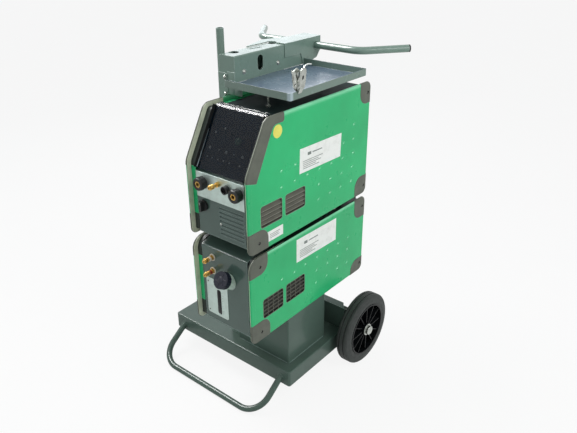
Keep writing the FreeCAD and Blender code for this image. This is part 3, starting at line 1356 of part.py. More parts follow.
def handle_bracket():
    """Sleeve over the beam's rear end, with a lug on the left."""
    x = (-BEAM_HALF - SEAT - PLATE, BEAM_HALF + SEAT + PLATE)
    top = BEAM_Z[1] + SEAT
    outer = box(x, (SLEEVE_Y0, BEAM_Y1), (BEAM_Z[0], top + PLATE))
    inner = box((x[0] + PLATE, x[1] - PLATE), (SLEEVE_Y0 - OVER, BEAM_Y1 + OVER), (BEAM_Z[0] - OVER, top))
    sleeve = outer.cut(inner)
    low = [(SLEEVE_Y0 - OVER, BEAM_Z[0] - OVER, 0), (SLEEVE_Y0 + SLEEVE_NOTCH[0], BEAM_Z[0] - OVER, 0),
           (SLEEVE_Y0 + SLEEVE_NOTCH[1], SLEEVE_LOW, 0), (SLEEVE_Y0 - OVER, SLEEVE_LOW, 0)]
    lug = plate([(c[0] + (x[0] - LUG[0][0]), c[1], 0) for c in LUG] + [(x[0] + PLATE, LUG[2][1], 0),
                (x[0] + PLATE, LUG[0][1], 0)], "z", top, top + PLATE)
    tools = [plate(side, "x", x[0] - OVER, x[1] + OVER) for side in (low, beam_rear_corner())]
    start = (x[0] - OVER, HANDLE_Y, HANDLE_Z)
    tools.append(rod(start, (1, 0, 0), HANDLE_R + SEAT / 2, x[1] - x[0] + 2 * OVER))
    return fuse([sleeve, lug]).cut(tools + top_holes(top - OVER, top + 2 * OVER, SLEEVE_HOLE_CLEAR))


def handle_points():
    end_x, end_y = HANDLE_END
    flat = [(-end_x, end_y), (-HANDLE_BEND_X, HANDLE_Y), (HANDLE_BEND_X, HANDLE_Y), (end_x, end_y)]
    return [Vector(x, y, HANDLE_Z) for x, y in flat]


def handle_bar():
    return bent_tube(handle_points(), HANDLE_BEND_R, HANDLE_R, HANDLE_R - HANDLE_WALL)


def handle_end_caps():
    caps = []
    points = handle_points()
    for end, bend in ((points[0], points[1]), (points[3], points[2])):
        out = end.sub(bend).normalize()
        start = end.add(Vector(out).multiply(SEAT))
        inside = end.sub(Vector(out).multiply(END_CAP_PLUG))
        head = rod(tuple(start), tuple(out), HANDLE_R, END_CAP_T)
        plug = rod(tuple(inside), tuple(out), HANDLE_R - HANDLE_WALL - SEAT / 2, END_CAP_PLUG + SEAT)
        caps.append(head.fuse(plug))
    return Part.makeCompound(caps)


def hose_post():
    """Tube beside the front upright that takes a hose support."""
    x = UPRIGHT_X[0] - SEAT - POST_R
    return pipe((x, POST_Y, PLATFORM_TOP), (0, 0, 1), POST_R, POST_R - POST_WALL, POST_TOP - PLATFORM_TOP)


def accessory_tray():
    """Folded tray beside the beam, with a tongue bolted under the beam."""
    x = (BEAM_HALF + SEAT, TRAY_X1)
    z = (TRAY_Z, TRAY_Z + TRAY_LIP)
    outer = plate(rectangle(x, TRAY_Y, TRAY_R), "z", *z)
    inner_y = (TRAY_Y[0] + SHEET, TRAY_Y[1] - SHEET)
    inner = box((x[0] - OVER, x[1] - SHEET), inner_y, (z[0] + SHEET, z[1] + OVER))
    tongue = box((-BEAM_HALF, x[0] + 1), TRAY_TONGUE_Y, (z[0], z[0] + SHEET))
    beside_sleeve = box((x[0] - OVER, BEAM_HALF + SEAT + PLATE + SEAT),
                        (SLEEVE_Y0 + SLEEVE_NOTCH[1] - SEAT, TRAY_Y[1] + OVER),
                        (z[0] - OVER, z[1] + OVER))
    return fuse([outer.cut(inner), tongue]).cut(beside_sleeve)


def tray_props():
    """Rubber-footed studs between the tray and the power source's top cover."""
    props = []
    low = POWER_Z + POWER_H - TOP_COVER_DROP
    for y in PROP_Y:
        pad = rod((PROP_X, y, low), (0, 0, 1), PROP_PAD_R, PROP_PAD_T)
        props.append(pad.fuse(rod((PROP_X, y, low), (0, 0, 1), PROP_R, TRAY_Z - low)))
    return Part.makeCompound(props)


def clamp_half(sign, width, cheek_y, bore):
    """One half of the work clamp; sign is +1 outside the tray's lip and -1 inside."""
    pivot_x = TRAY_X1 - SHEET / 2
    pivot_z = TRAY_Z + TRAY_LIP + CLAMP_PIVOT_UP
    near = SHEET / 2 + SEAT
    t = CLAMP_T
    elbow = CLAMP_SPREAD - CLAMP_LEAN
    bend = CLAMP_BEND_R
    side = [(near, -CLAMP_JAW, 0), (near + t, -CLAMP_JAW, 0), (near + t, -CLAMP_KINK, bend),
            (elbow, CLAMP_ELBOW[0], bend), (CLAMP_SPREAD, CLAMP_ARM, 0), (CLAMP_SPREAD - t, CLAMP_ARM, 0),
            (elbow - t, CLAMP_ELBOW[0], bend), (near, -CLAMP_KINK, bend)]
    eye = CLAMP_PIN_R + t
    cheek = [(near + t / 2, -CLAMP_KINK, 0), (elbow - t / 2, CLAMP_ELBOW[0], 0),
             (elbow - t / 2, CLAMP_ELBOW[1], 0), (0, eye, 0), (-eye, eye, CLAMP_PIN_R),
             (-eye, -eye, CLAMP_PIN_R), (0, -eye, 0)]

    def place(corners):
        turned = [(pivot_x + sign * c[0], pivot_z + c[1], c[2]) for c in corners]
        return turned if sign > 0 else turned[::-1]

    plates = [plate(place(side), "y", CLAMP_Y - width / 2, CLAMP_Y + width / 2)]
    for y in (CLAMP_Y - cheek_y, CLAMP_Y + cheek_y - t):
        plates.append(plate(place(cheek), "y", y, y + t))
    whole = fuse(plates)
    hole = rod((pivot_x, CLAMP_Y - width, pivot_z), (0, 1, 0), CLAMP_PIN_R + bore, 2 * width)
    return whole.cut(hole)


def work_clamp_body():
    half = clamp_half(1, CLAMP_W, CLAMP_W / 2, 0.0)
    pivot_x = TRAY_X1 - SHEET / 2
    pivot_z = TRAY_Z + TRAY_LIP + CLAMP_PIVOT_UP
    pin = rod((pivot_x, CLAMP_Y - CLAMP_W / 2 - SEAT, pivot_z), (0, 1, 0), CLAMP_PIN_R, CLAMP_W + 2 * SEAT)
    return half.fuse(pin)


def work_clamp_jaw():
    width = CLAMP_W - 2 * CLAMP_T - 4 * SEAT
    return clamp_half(-1, width, width / 2, RUN)


def make_trolley():
    nodes["base_platform"] = base_platform()
    nodes["foot_loop"] = foot_loop()
    nodes["pedestal"] = pedestal()
    nodes["axle_frame"] = axle_frame()
    nodes["axle"] = axle()
    nodes["axle_caps"] = Part.makeCompound([axle_cap(), mirrored(axle_cap())])
    for name, make in (("tyre", tyre), ("rim", rim)):
        nodes[name + "_right"] = make()
        nodes[name + "_left"] = mirrored(nodes[name + "_right"])
    nodes["front_upright"] = front_upright()
    nodes["rear_upright"] = rear_upright()
    nodes["top_beam"] = top_beam()
    nodes["handle_bracket"] = handle_bracket()
    nodes["handle_bar"] = handle_bar()
    nodes["handle_end_caps"] = handle_end_caps()
    nodes["hose_post"] = hose_post()
    nodes["accessory_tray"] = accessory_tray()
    nodes["tray_props"] = tray_props()
    nodes["work_clamp_body"] = work_clamp_body()
    nodes["work_clamp_jaw"] = work_clamp_jaw()
    nodes["rubber_feet"] = rubber_feet()


make_sides()
make_power_source()
make_cooling_unit()
make_trolley()

# The origin is the middle of the base of the whole
whole_box = FreeCAD.BoundBox()
for shape in nodes.values():
    whole_box.add(shape.optimalBoundingBox(False, False))
shift = Vector(-whole_box.Center.x, -whole_box.Center.y, -whole_box.ZMin)

os.makedirs("parts", exist_ok=True)
for name, shape in nodes.items():
    shape.translate(shift)
    shape.exportStep("parts/" + name + ".step")
print("nodes", len(nodes), "shift", tuple(round(v, 3) for v in shift))
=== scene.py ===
from math import atan2, copysign, cos, pi, radians, sin

import bpy
import bmesh
import numpy as np
from mathutils import Matrix, Vector


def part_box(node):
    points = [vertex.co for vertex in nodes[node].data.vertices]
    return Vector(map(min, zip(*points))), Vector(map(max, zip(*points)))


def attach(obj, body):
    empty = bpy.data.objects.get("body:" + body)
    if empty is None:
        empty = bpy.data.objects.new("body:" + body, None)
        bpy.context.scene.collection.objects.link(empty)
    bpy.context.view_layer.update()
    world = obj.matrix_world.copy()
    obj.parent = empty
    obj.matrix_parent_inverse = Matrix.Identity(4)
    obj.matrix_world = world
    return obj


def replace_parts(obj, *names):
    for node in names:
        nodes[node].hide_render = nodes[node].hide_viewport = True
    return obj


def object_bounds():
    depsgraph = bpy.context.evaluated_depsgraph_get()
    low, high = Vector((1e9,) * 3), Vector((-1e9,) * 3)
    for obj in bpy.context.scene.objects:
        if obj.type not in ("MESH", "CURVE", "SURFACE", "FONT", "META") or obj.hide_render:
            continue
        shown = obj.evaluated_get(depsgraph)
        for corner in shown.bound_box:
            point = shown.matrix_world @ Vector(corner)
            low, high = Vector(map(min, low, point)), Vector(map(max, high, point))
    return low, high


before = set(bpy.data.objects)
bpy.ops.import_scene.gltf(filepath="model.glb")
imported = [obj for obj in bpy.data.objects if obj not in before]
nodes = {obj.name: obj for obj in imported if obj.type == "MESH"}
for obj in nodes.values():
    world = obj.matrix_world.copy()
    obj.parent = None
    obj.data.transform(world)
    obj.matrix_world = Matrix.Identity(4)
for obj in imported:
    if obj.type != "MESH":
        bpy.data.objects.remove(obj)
cad_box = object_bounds()

# Places on the units, in metres: UNIT_X is their middle plane, FRONT the side panels' front edge.
# The control panel lies PANEL_BEHIND under the cover, whose face starts at SLOPE_FOOT, in millimetres.
UNIT_X = 0.133
HALF_W = 0.125
INNER_HALF_W = 0.1199
BEND_REACH = 0.004
BAND_OVER = 0.004
CORNER_FADE = 0.006
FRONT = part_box("power_side_right")[0].y
POWER_Z = 0.649
COOLER_Z = 0.328
SLANT = atan2(0.088, 0.405 - 0.248)
PANEL_BEHIND = 15.0
SLOPE_FOOT = (20.0, 226.0)
ACROSS = Vector((1, 0, 0))
SLOPE_UP = Vector((0, sin(SLANT), cos(SLANT)))
SLOPE_OUT = Vector((0, -cos(SLANT), sin(SLANT)))


def srgb(red, green, blue):
    """Linear colour of an 8-bit display colour."""
    out = []
    for value in (red, green, blue):
        value /= 255
        out.append(value / 12.92 if value <= 0.04045 else ((value + 0.055) / 1.055) ** 2.4)
    return (*out, 1.0)


class Tree:
    """Helpers that add nodes to one shader tree."""

    def __init__(self, tree):
        self.tree = tree
        tree.nodes.clear()

    def node(self, kind, inputs=(), **values):
        """New node; inputs has a number or another node's socket for each socket, by name or place."""
        made = self.tree.nodes.new(kind)
        for key, value in values.items():
            setattr(made, key, value)
        for key, value in dict(inputs).items():
            self.put(made.inputs[key], value)
        return made

    def put(self, socket, value):
        if isinstance(value, bpy.types.NodeSocket):
            self.tree.links.new(value, socket)
        else:
            socket.default_value = value

    def math(self, kind, a, b=0.0, c=0.0, clamp=False):
        made = self.node("ShaderNodeMath", enumerate((a, b, c)), operation=kind, use_clamp=clamp)
        return made.outputs[0]

    def blend(self, share, first, second):
        """Shader between two shaders, given as nodes."""
        shaders = (share, first.outputs[0], second.outputs[0])
        return self.node("ShaderNodeMixShader", enumerate(shaders)).outputs[0]

    def seen_rays(self):
        """1 for rays from the camera, off gloss and through glass."""
        rays = self.node("ShaderNodeLightPath").outputs
        both = self.math("ADD", rays["Is Camera Ray"], rays["Is Glossy Ray"], clamp=True)
        return self.math("ADD", both, rays["Is Transmission Ray"], clamp=True)


class Shade(Tree):
    """Builds one procedural material; places are in the row frame, in metres."""

    def __init__(self, name, colour):
        self.mat = bpy.data.materials.new(name)
        self.mat.use_nodes = True
        super().__init__(self.mat.node_tree)
        self.bsdf = self.node("ShaderNodeBsdfPrincipled")
        self.out = self.node("ShaderNodeOutputMaterial", {0: self.bsdf.outputs[0]})
        self.place = self.node("ShaderNodeTexCoord").outputs["Object"]
        self.tone = srgb(*colour)

    def tint(self, share, colour):
        """Lays a display colour over the tone so far."""
        self.tone = self.mix(share, self.tone, srgb(*colour))

    def clouded(self, colour, light, clouds, base_share):
        """Mixes clouds of the paler shade and the colour itself into a darker start."""
        self.tint(self.spread(clouds, 0.3, 0.7), light)
        self.tint(base_share, colour)

    def finished(self, **values):
        """Sets the shader's own sockets, named with _ for a space, and gives back the material."""
        self.put(self.bsdf.inputs["Base Color"], self.tone)
        for name, value in values.items():
            self.put(self.bsdf.inputs[name.replace("_", " ")], value)
        return self.mat

    def pattern(self, kind, inputs, stretch, **values):
        """Texture in the row frame, stretched if scales along the axes are given."""
        place = self.place
        if stretch:
            place = self.node("ShaderNodeMapping", {"Vector": place, "Scale": stretch}).outputs[0]
        return self.node(kind, {"Vector": place, **inputs}, **values).outputs

    def noise(self, scale, detail=3.0, rough=0.5, stretch=None, seed=0.0):
        inputs = {"W": seed, "Scale": scale, "Detail": detail, "Roughness": rough}
        return self.pattern("ShaderNodeTexNoise", inputs, stretch, noise_dimensions="4D")["Fac"]

    def cells(self, scale):
        return self.pattern("ShaderNodeTexVoronoi", {"Scale": scale}, None)["Distance"]

    def spread(self, value, low, high, to_low=0.0, to_high=1.0):
        inputs = enumerate((value, low, high, to_low, to_high))
        return self.node("ShaderNodeMapRange", inputs).outputs[0]

    def mix(self, share, first, second):
        return self.node("ShaderNodeMix", {0: share, 6: first, 7: second}, data_type="RGBA").outputs[2]

    def times(self, a, b):
        return self.math("MULTIPLY", a, b)

    def axis(self, index):
        return self.node("ShaderNodeSeparateXYZ", {0: self.place}).outputs[index]

    def face_normal(self):
        return self.node("ShaderNodeNewGeometry").outputs["Normal"]

    def facing_up(self):
        return self.node("ShaderNodeSeparateXYZ", {0: self.face_normal()}).outputs[2]

    def soft_normal(self, radius):
        return self.node("ShaderNodeBevel", {"Radius": radius}, samples=4).outputs[0]

    def edge(self, radius, low=0.04, high=0.28):
        """Share from 0 on flat faces to 1 on convex and concave edges."""
        normals = enumerate((self.soft_normal(radius), self.face_normal()))
        made = self.node("ShaderNodeVectorMath", normals, operation="DOT_PRODUCT")
        return self.spread(self.math("SUBTRACT", 1.0, made.outputs["Value"]), low, high)

    def bump(self, height, strength, distance, normal=None):
        inputs = {"Strength": strength, "Distance": distance, "Height": height}
        if normal is not None:
            inputs["Normal"] = normal
        return self.node("ShaderNodeBump", inputs).outputs[0]


def enamel(name, colour, rough=0.34, bare=(150, 152, 148), wear=0.35, peel=0.22, dust=0.06, coat=0.1,
           level=0.3, edge_radius=0.0012, upward=None, bend=None, highlight_bands=(), corner=None, shadow_below=None):
    """Powder coat: slow shade changes, fine orange peel, dust on level faces, worn edges, painted highlights
    on bends.

    The level-face colour is a painted reflection, the bands are heights (low, high) between which the painted
    bend highlight comes in, the corner is a line x - y with a painted highlight colour past it, and the
    shaded height has a painted shadow colour on level faces below it.
    """
    s = Shade(name, [c * 0.88 for c in colour])
    light = [min(255, c * 1.12 + 5) for c in colour]
    s.clouded(colour, light, s.noise(4.0, 4.0, 0.6), 0.55)
    fine = s.noise(900.0, 2.0, 0.6)
    s.tint(s.spread(fine, 0.35, 0.75, 0.0, 0.12), light)
    # Painted reflection: the given colour on level faces.
    if upward is not None:
        s.tint(s.spread(s.facing_up(), 0.8, 1.0, 0.0, 0.9), upward)
    cloud = s.spread(s.noise(14.0, 5.0, 0.65, seed=3.0), 0.35, 0.75)
    s.tint(s.times(s.spread(s.facing_up(), 0.6, 1.0, 0.0, dust), cloud), (150, 150, 140))
    # Painted highlight: a paler colour on bends.
    if bend is not None:
        patchy = s.spread(s.noise(9.0, 3.0, seed=13.0), 0.2, 0.7, 0.25, 0.75)
        s.tint(s.times(s.edge(BEND_REACH, 0.02, 0.20), patchy), bend)
    # Painted highlight: the bend colour in bands between given heights.
    for low, high in highlight_bands:
        below = s.math("LESS_THAN", s.axis(2), high + BAND_OVER)
        patchy = s.spread(s.noise(6.0, 3.0, seed=17.0), 0.3, 0.7, 0.45, 0.9)
        s.tint(s.times(s.times(s.spread(s.axis(2), low, high), below), patchy), bend)
    # Painted shadow: a dark colour on level faces below a height.
    if shadow_below is not None:
        below = s.math("LESS_THAN", s.axis(2), shadow_below[0])
        s.tint(s.times(s.spread(s.facing_up(), 0.80, 0.95), below), shadow_below[1])
    # Painted highlight: a pale colour past a line x - y.
    if corner is not None:
        along = s.math("SUBTRACT", s.axis(0), s.axis(1))
        s.tint(s.spread(along, corner[0] - CORNER_FADE, corner[0], 0.0, 0.8), corner[1])
    rubbed = s.times(s.edge(edge_radius), s.spread(s.noise(70.0, 6.0, 0.7, seed=7.0), 0.5, 0.66))
    s.tint(s.times(rubbed, wear), bare)
    spots = s.spread(s.noise(22.0, 4.0, 0.6, seed=11.0), 0.3, 0.75, rough - 0.05, rough + 0.09)
    peel_height = s.math("ADD", s.noise(420.0, 2.0, 0.5, seed=1.0), s.times(fine, 0.35))
    normal = s.bump(peel_height, peel, 0.0003, s.soft_normal(edge_radius))
    return s.finished(Roughness=spots, Normal=normal, Coat_Weight=coat, Coat_Roughness=0.12,
                      Specular_IOR_Level=level)


def plastic(name, colour, rough=0.5, grain=0.35, scuff=(150, 150, 146), wear=0.3, coat=0.0,
            edge_radius=0.0008, grain_scale=1500.0, level=0.3, inner=None):
    """Moulded plastic: fine grain, cloudy shade, scuffed edges; the inner colour, nearer the middle, is
    painted shadow.
    """
    s = Shade(name, [c * 0.86 for c in colour])
    s.clouded(colour, [min(255, c * 1.14 + 4) for c in colour], s.noise(26.0, 4.0, 0.6), 0.5)
    # Painted shadow: a dark colour on the parts nearer the units' middle.
    if inner is not None:
        off_middle = s.math("ABSOLUTE", s.math("SUBTRACT", s.axis(0), UNIT_X))
        s.tint(s.math("LESS_THAN", off_middle, INNER_HALF_W), inner)
    rubbed = s.times(s.edge(edge_radius), s.spread(s.noise(160.0, 5.0, 0.7, seed=5.0), 0.45, 0.65))
    s.tint(s.times(rubbed, wear), scuff)
    spots = s.spread(s.noise(60.0, 4.0, 0.6, seed=9.0), 0.3, 0.75, rough - 0.06, rough + 0.08)
    normal = s.bump(s.cells(grain_scale), grain, 0.00012, s.soft_normal(edge_radius))
    return s.finished(Roughness=spots, Normal=normal, Coat_Weight=coat, Coat_Roughness=0.08,
                      Specular_IOR_Level=level)


def metal(name, colour, rough=0.3, brushed=None, tarnish=(90, 80, 60), tarnish_share=0.25, edge_radius=0.0005,
          ripple=0.2):
    """Bare or plated metal with brushing, cloudy tarnish and polished edges."""
    s = Shade(name, colour)
    bright = [min(255, c * 1.1 + 8) for c in colour]
    cloud = s.spread(s.noise(60.0, 5.0, 0.65, seed=2.0), 0.42, 0.75, 0.0, tarnish_share)
    s.tint(cloud, tarnish)
    s.tint(s.times(s.edge(edge_radius), 0.6), bright)
    lines = s.noise(1.0, 4.0, 0.6, stretch=brushed) if brushed else s.noise(700.0, 3.0, 0.6, seed=4.0)
    s.tint(s.spread(lines, 0.3, 0.7, 0.0, 0.18), bright)
    return s.finished(Metallic=s.spread(cloud, 0.0, 1.0, 1.0, 0.75),
                      Roughness=s.spread(lines, 0.3, 0.7, rough - 0.05, rough + 0.1),
                      Normal=s.bump(lines, ripple, 0.0001, s.soft_normal(edge_radius)))


def smoked(name):
    """Dark see-through cover with fine scratches and dust."""
    s = Shade(name, (2, 16, 28))
    haze = s.spread(s.noise(30.0, 5.0, 0.65), 0.35, 0.8)
    s.tint(haze, (8, 24, 36))
    scratches = s.noise(1.0, 5.0, 0.7, stretch=(900, 60, 60), seed=1.0)
    s.tint(s.spread(scratches, 0.68, 0.80, 0.0, 0.06), (110, 122, 128))
    return s.finished(Roughness=s.spread(haze, 0.0, 1.0, 0.06, 0.12), Normal=s.bump(haze, 0.02, 0.0001),
                      Alpha=0.5, Specular_IOR_Level=0.32)


def paper(name, colour, soiled=(150, 156, 140)):
    """Printed paper or film: faint stains and slight sheen."""
    s = Shade(name, colour)
    s.tint(s.spread(s.noise(38.0, 6.0, 0.7, seed=6.0), 0.5, 0.75, 0.0, 0.35), soiled)
    return s.finished(Roughness=s.spread(s.noise(90.0, 3.0), 0.3, 0.7, 0.42, 0.58),
                      Normal=s.bump(s.noise(300.0, 4.0), 0.12, 0.0002), Specular_IOR_Level=0.3)


def milky(name):
    """Blow-moulded tank: pale, slightly see-through plastic."""
    s = Shade(name, (186, 208, 196))
    s.tint(s.spread(s.noise(35.0, 4.0, 0.6), 0.3, 0.7), (212, 226, 214))
    return s.finished(Roughness=s.spread(s.noise(120.0, 3.0), 0.3, 0.7, 0.28, 0.42),
                      Normal=s.bump(s.noise(260.0, 3.0), 0.15, 0.0003, s.soft_normal(0.001)),
                      Subsurface_Weight=0.35, Subsurface_Radius=(0.004, 0.005, 0.004))


RECIPES = (
    # The bend colours in these recipes are painted highlights on bends.
    (enamel, "body_enamel", (76, 95, 86), dict(rough=0.32, wear=0.45, coat=0.25, level=0.1,
        bend=(160, 184, 178))),
    # A paler copy of the body enamel for the beam, handle, front upright and hose post: the paler colour is
    # painted light.
    (enamel, "upper_enamel", (112, 135, 124), dict(rough=0.28, wear=0.45, coat=0.3, level=0.25,
        bend=(180, 200, 190))),
    (enamel, "front_enamel", (70, 92, 84), dict(rough=0.42, wear=0.3, coat=0.7, level=0.05,
        bend=(150, 174, 172))),
    # A much darker copy of the enamel for the top cover under the tray: its darkness is painted shadow.
    (enamel, "dark_enamel", (30, 44, 44), dict(rough=0.6, wear=0.2, coat=0.0, level=0.05, dust=0.0)),
    # tray_enamel: the level-face colour is a bluish painted reflection and the corner colour a pale painted
    # highlight towards the right front.
    (enamel, "tray_enamel", (104, 124, 114), dict(rough=0.24, wear=0.5, coat=0.3, upward=(108, 126, 148),
        corner=(0.481, (176, 194, 202)))),
    # side_enamel: the bend colour and its bands are painted highlights along the panels' top edges; the
    # colour below 0.66 m is painted shadow on the cooler's top flange under the power source.
    (enamel, "side_enamel", (38, 180, 112), dict(rough=0.3, wear=0.2, peel=0.2, coat=0.15, level=0.2,
        bare=(150, 190, 165), bend=(150, 232, 188), highlight_bands=((1.04, 1.05), (0.6225, 0.631)),
        shadow_below=(0.66, (14, 32, 26)))),
    # A paler, glossier copy of the side panels' green for the dimples: the paler colour is painted highlight.
    (enamel, "dimple_enamel", (52, 190, 124), dict(rough=0.16, wear=0.0, peel=0.05, coat=1.0, level=0.6,
        edge_radius=0.0004)),
    # guard_plastic: the inner colour is painted shadow on the guards' inner flanges.
    (plastic, "guard_plastic", (92, 96, 86), dict(rough=0.5, inner=(44, 52, 48))),
    (plastic, "grille_plastic", (88, 88, 78), dict(rough=0.5)),
    # A paler copy of the grille plastic for the louvre lips: the paler colour is painted highlight.
    (plastic, "lip_plastic", (128, 128, 114), dict(rough=0.5)),
    (plastic, "shadow_plastic", (34, 36, 30), dict(rough=0.6)),
    (plastic, "cap_plastic", (24, 28, 42), dict(rough=0.34, wear=0.3)),
    (plastic, "panel_film", (14, 30, 40), dict(rough=0.4, wear=0.0, grain=0.1, level=0.1)),
    (plastic, "black_plastic", (24, 26, 26), dict(rough=0.42, wear=0.35)),
    (plastic, "black_gloss", (12, 14, 16), dict(rough=0.3, grain=0.1, wear=0.0, level=0.15)),
    (plastic, "knob_plastic", (52, 108, 84), dict(rough=0.4)),
    (plastic, "button_plastic", (196, 206, 200), dict(rough=0.45)),
    (plastic, "rim_plastic", (15, 17, 19), dict(rough=0.28, wear=0.0, coat=0.22, level=0.05)),
    # A pale glossy colour for the cover's side edges: painted reflection.
    (plastic, "clear_edge", (178, 194, 200), dict(rough=0.14, grain=0.0, wear=0.0, coat=1.0, level=0.5)),
    (plastic, "liner_plastic", (196, 204, 180), dict(rough=0.5, wear=0.15)),
    (plastic, "pale_plastic", (214, 210, 196), dict(rough=0.4, wear=0.2, scuff=(120, 110, 90))),
    (plastic, "red_plastic", (142, 62, 44), dict(rough=0.4, wear=0.2, scuff=(190, 150, 130))),
    (paper, "label_paper", (244, 246, 242), dict()),
    (paper, "label_ink", (120, 130, 124), dict(soiled=(160, 168, 160))),
    (paper, "sticker_yellow", (236, 230, 110), dict(soiled=(190, 186, 80))),
    (metal, "strip_aluminium", (176, 192, 186), dict(rough=0.42, brushed=(8, 900, 900))),
    (metal, "cast_aluminium", (160, 162, 160), dict(rough=0.5, ripple=0.5)),
    (metal, "zinc_steel", (180, 184, 178), dict(rough=0.24, tarnish=(70, 72, 66), tarnish_share=0.5)),
    (metal, "bright_zinc", (226, 232, 228), dict(rough=0.3, tarnish_share=0.1)),
    (metal, "dark_zinc", (110, 112, 108), dict(rough=0.36)),
    (metal, "brass", (206, 170, 96), dict(rough=0.26, tarnish=(110, 80, 40), tarnish_share=0.4)),
    (plastic, "rubber", (34, 35, 34), dict(rough=0.7, wear=0.4, scuff=(95, 95, 92))),
    (plastic, "tyre", (52, 56, 54), dict(rough=0.62, wear=0.4, scuff=(105, 108, 100), grain=0.6,
        grain_scale=700.0)),
)
MAT = {name: make(name, colour, **options) for make, name, colour, options in RECIPES}
MAT["smoked_plastic"] = smoked("smoked_plastic")
MAT["tank_plastic"] = milky("tank_plastic")

FINISH = {
    "tray_enamel": "accessory_tray",
    "zinc_steel": "axle axle_caps hinge_pin screws tray_props work_clamp_body work_clamp_jaw",
    "upper_enamel": "top_beam handle_bar handle_bracket front_upright hose_post",
    "dark_enamel": "power_top_cover",
    "panel_film": "control_panel",
    "cap_plastic": "filler_cap",
    "strip_aluminium": "connector_strip gauge_plate",
    "knob_plastic": "control_knob",
    "front_enamel": "power_front_panel cooler_casing",
    "brass": "coolant_couplings feed_collar gas_outlet gas_outlet_collar return_collar socket_contacts",
    "tank_plastic": "coolant_tank",
    "guard_plastic": "cooler_corner_guards power_corner_guards side_grilles",
    "black_plastic": "cooler_fan power_fan front_sockets handle_end_caps main_switch mains_gland",
    "side_enamel": "cooler_side_left cooler_side_right power_side_left power_side_right",
    "cast_aluminium": "inverter_module pump radiator",
    "button_plastic": "panel_button_1 panel_button_2 panel_button_3",
    "smoked_plastic": "panel_cover",
    "rim_plastic": "rim_left rim_right",
    "rubber": "rubber_feet",
    "tyre": "tyre_left tyre_right",
}
finish_of = {node: finish for finish, names in FINISH.items() for node in names.split()}


def give(obj, finish):
    """Leaves one material on an object."""
    obj.data.materials.clear()
    obj.data.materials.append(MAT[finish])


for node_name, node_object in nodes.items():
    give(node_object, finish_of.get(node_name, "body_enamel"))


def new_piece(name, data, finish, body="trolley_and_units", smooth=None):
    """Object of a mesh in the row frame, riding on a body."""
    obj = bpy.data.objects.new(name, data)
    bpy.context.scene.collection.objects.link(obj)
    give(obj, finish)
    if smooth is not None:
        obj.data.shade_smooth()
        obj.data.set_sharp_from_angle(angle=radians(smooth))
    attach(obj, body)
    return obj


def islands(node):
    """The loose solids of a CAD node: (vertex numbers, lowest corner, highest corner) each."""
    mesh = nodes[node].data
    places = np.array([v.co for v in mesh.vertices])
    owner = list(range(len(places)))

    def root(i):
        while owner[i] != i:
            owner[i] = owner[owner[i]]
            i = owner[i]
        return i

    welded = {}
    for i, key in enumerate(map(tuple, np.round(places * 1e6).astype(np.int64))):
        owner[root(i)] = root(welded.setdefault(key, i))
    for edge in mesh.edges:
        owner[root(edge.vertices[0])] = root(edge.vertices[1])
    groups = {}
    for i in range(len(places)):
        groups.setdefault(root(i), []).append(i)
    found = [(members, places[members].min(0), places[members].max(0)) for members in groups.values()]
    return sorted(found, key=lambda item: tuple(np.round(item[1], 5)) + tuple(np.round(item[2], 5)))


def part_of(node, wanted, name):
    """Copy of a CAD node's mesh, with its normals, of the solids for which wanted(low, high) is true."""
    mesh = nodes[node].data
    keep = {i for members, low, high in islands(node) if wanted(low, high) for i in members}
    number = {old: new for new, old in enumerate(sorted(keep))}
    faces = [face for face in mesh.polygons if face.vertices[0] in keep]
    data = bpy.data.meshes.new(name)
    data.from_pydata([mesh.vertices[i].co.copy() for i in sorted(keep)], [],
                     [[number[i] for i in face.vertices] for face in faces])
    data.shade_smooth()
    data.normals_split_custom_set([mesh.corner_normals[i].vector.copy() for face in faces
                                   for i in face.loop_indices])
    return data


SAME = "same as the finish"


def turns(count):
    """Angles of a full turn in equal steps."""
    return [2 * pi * k / count for k in range(count)]


def strips(rings, closed=False):
    """Faces between rings of vertex numbers, each corner once."""
    faces = []
    for low, high in zip(rings, rings[1:] + (rings[:1] if closed else [])):
        quads = zip(low, low[1:] + low[:1], high[1:] + high[:1], high)
        faces += [list(dict.fromkeys(quad)) for quad in quads]
    return [face for face in faces if len(face) > 2]


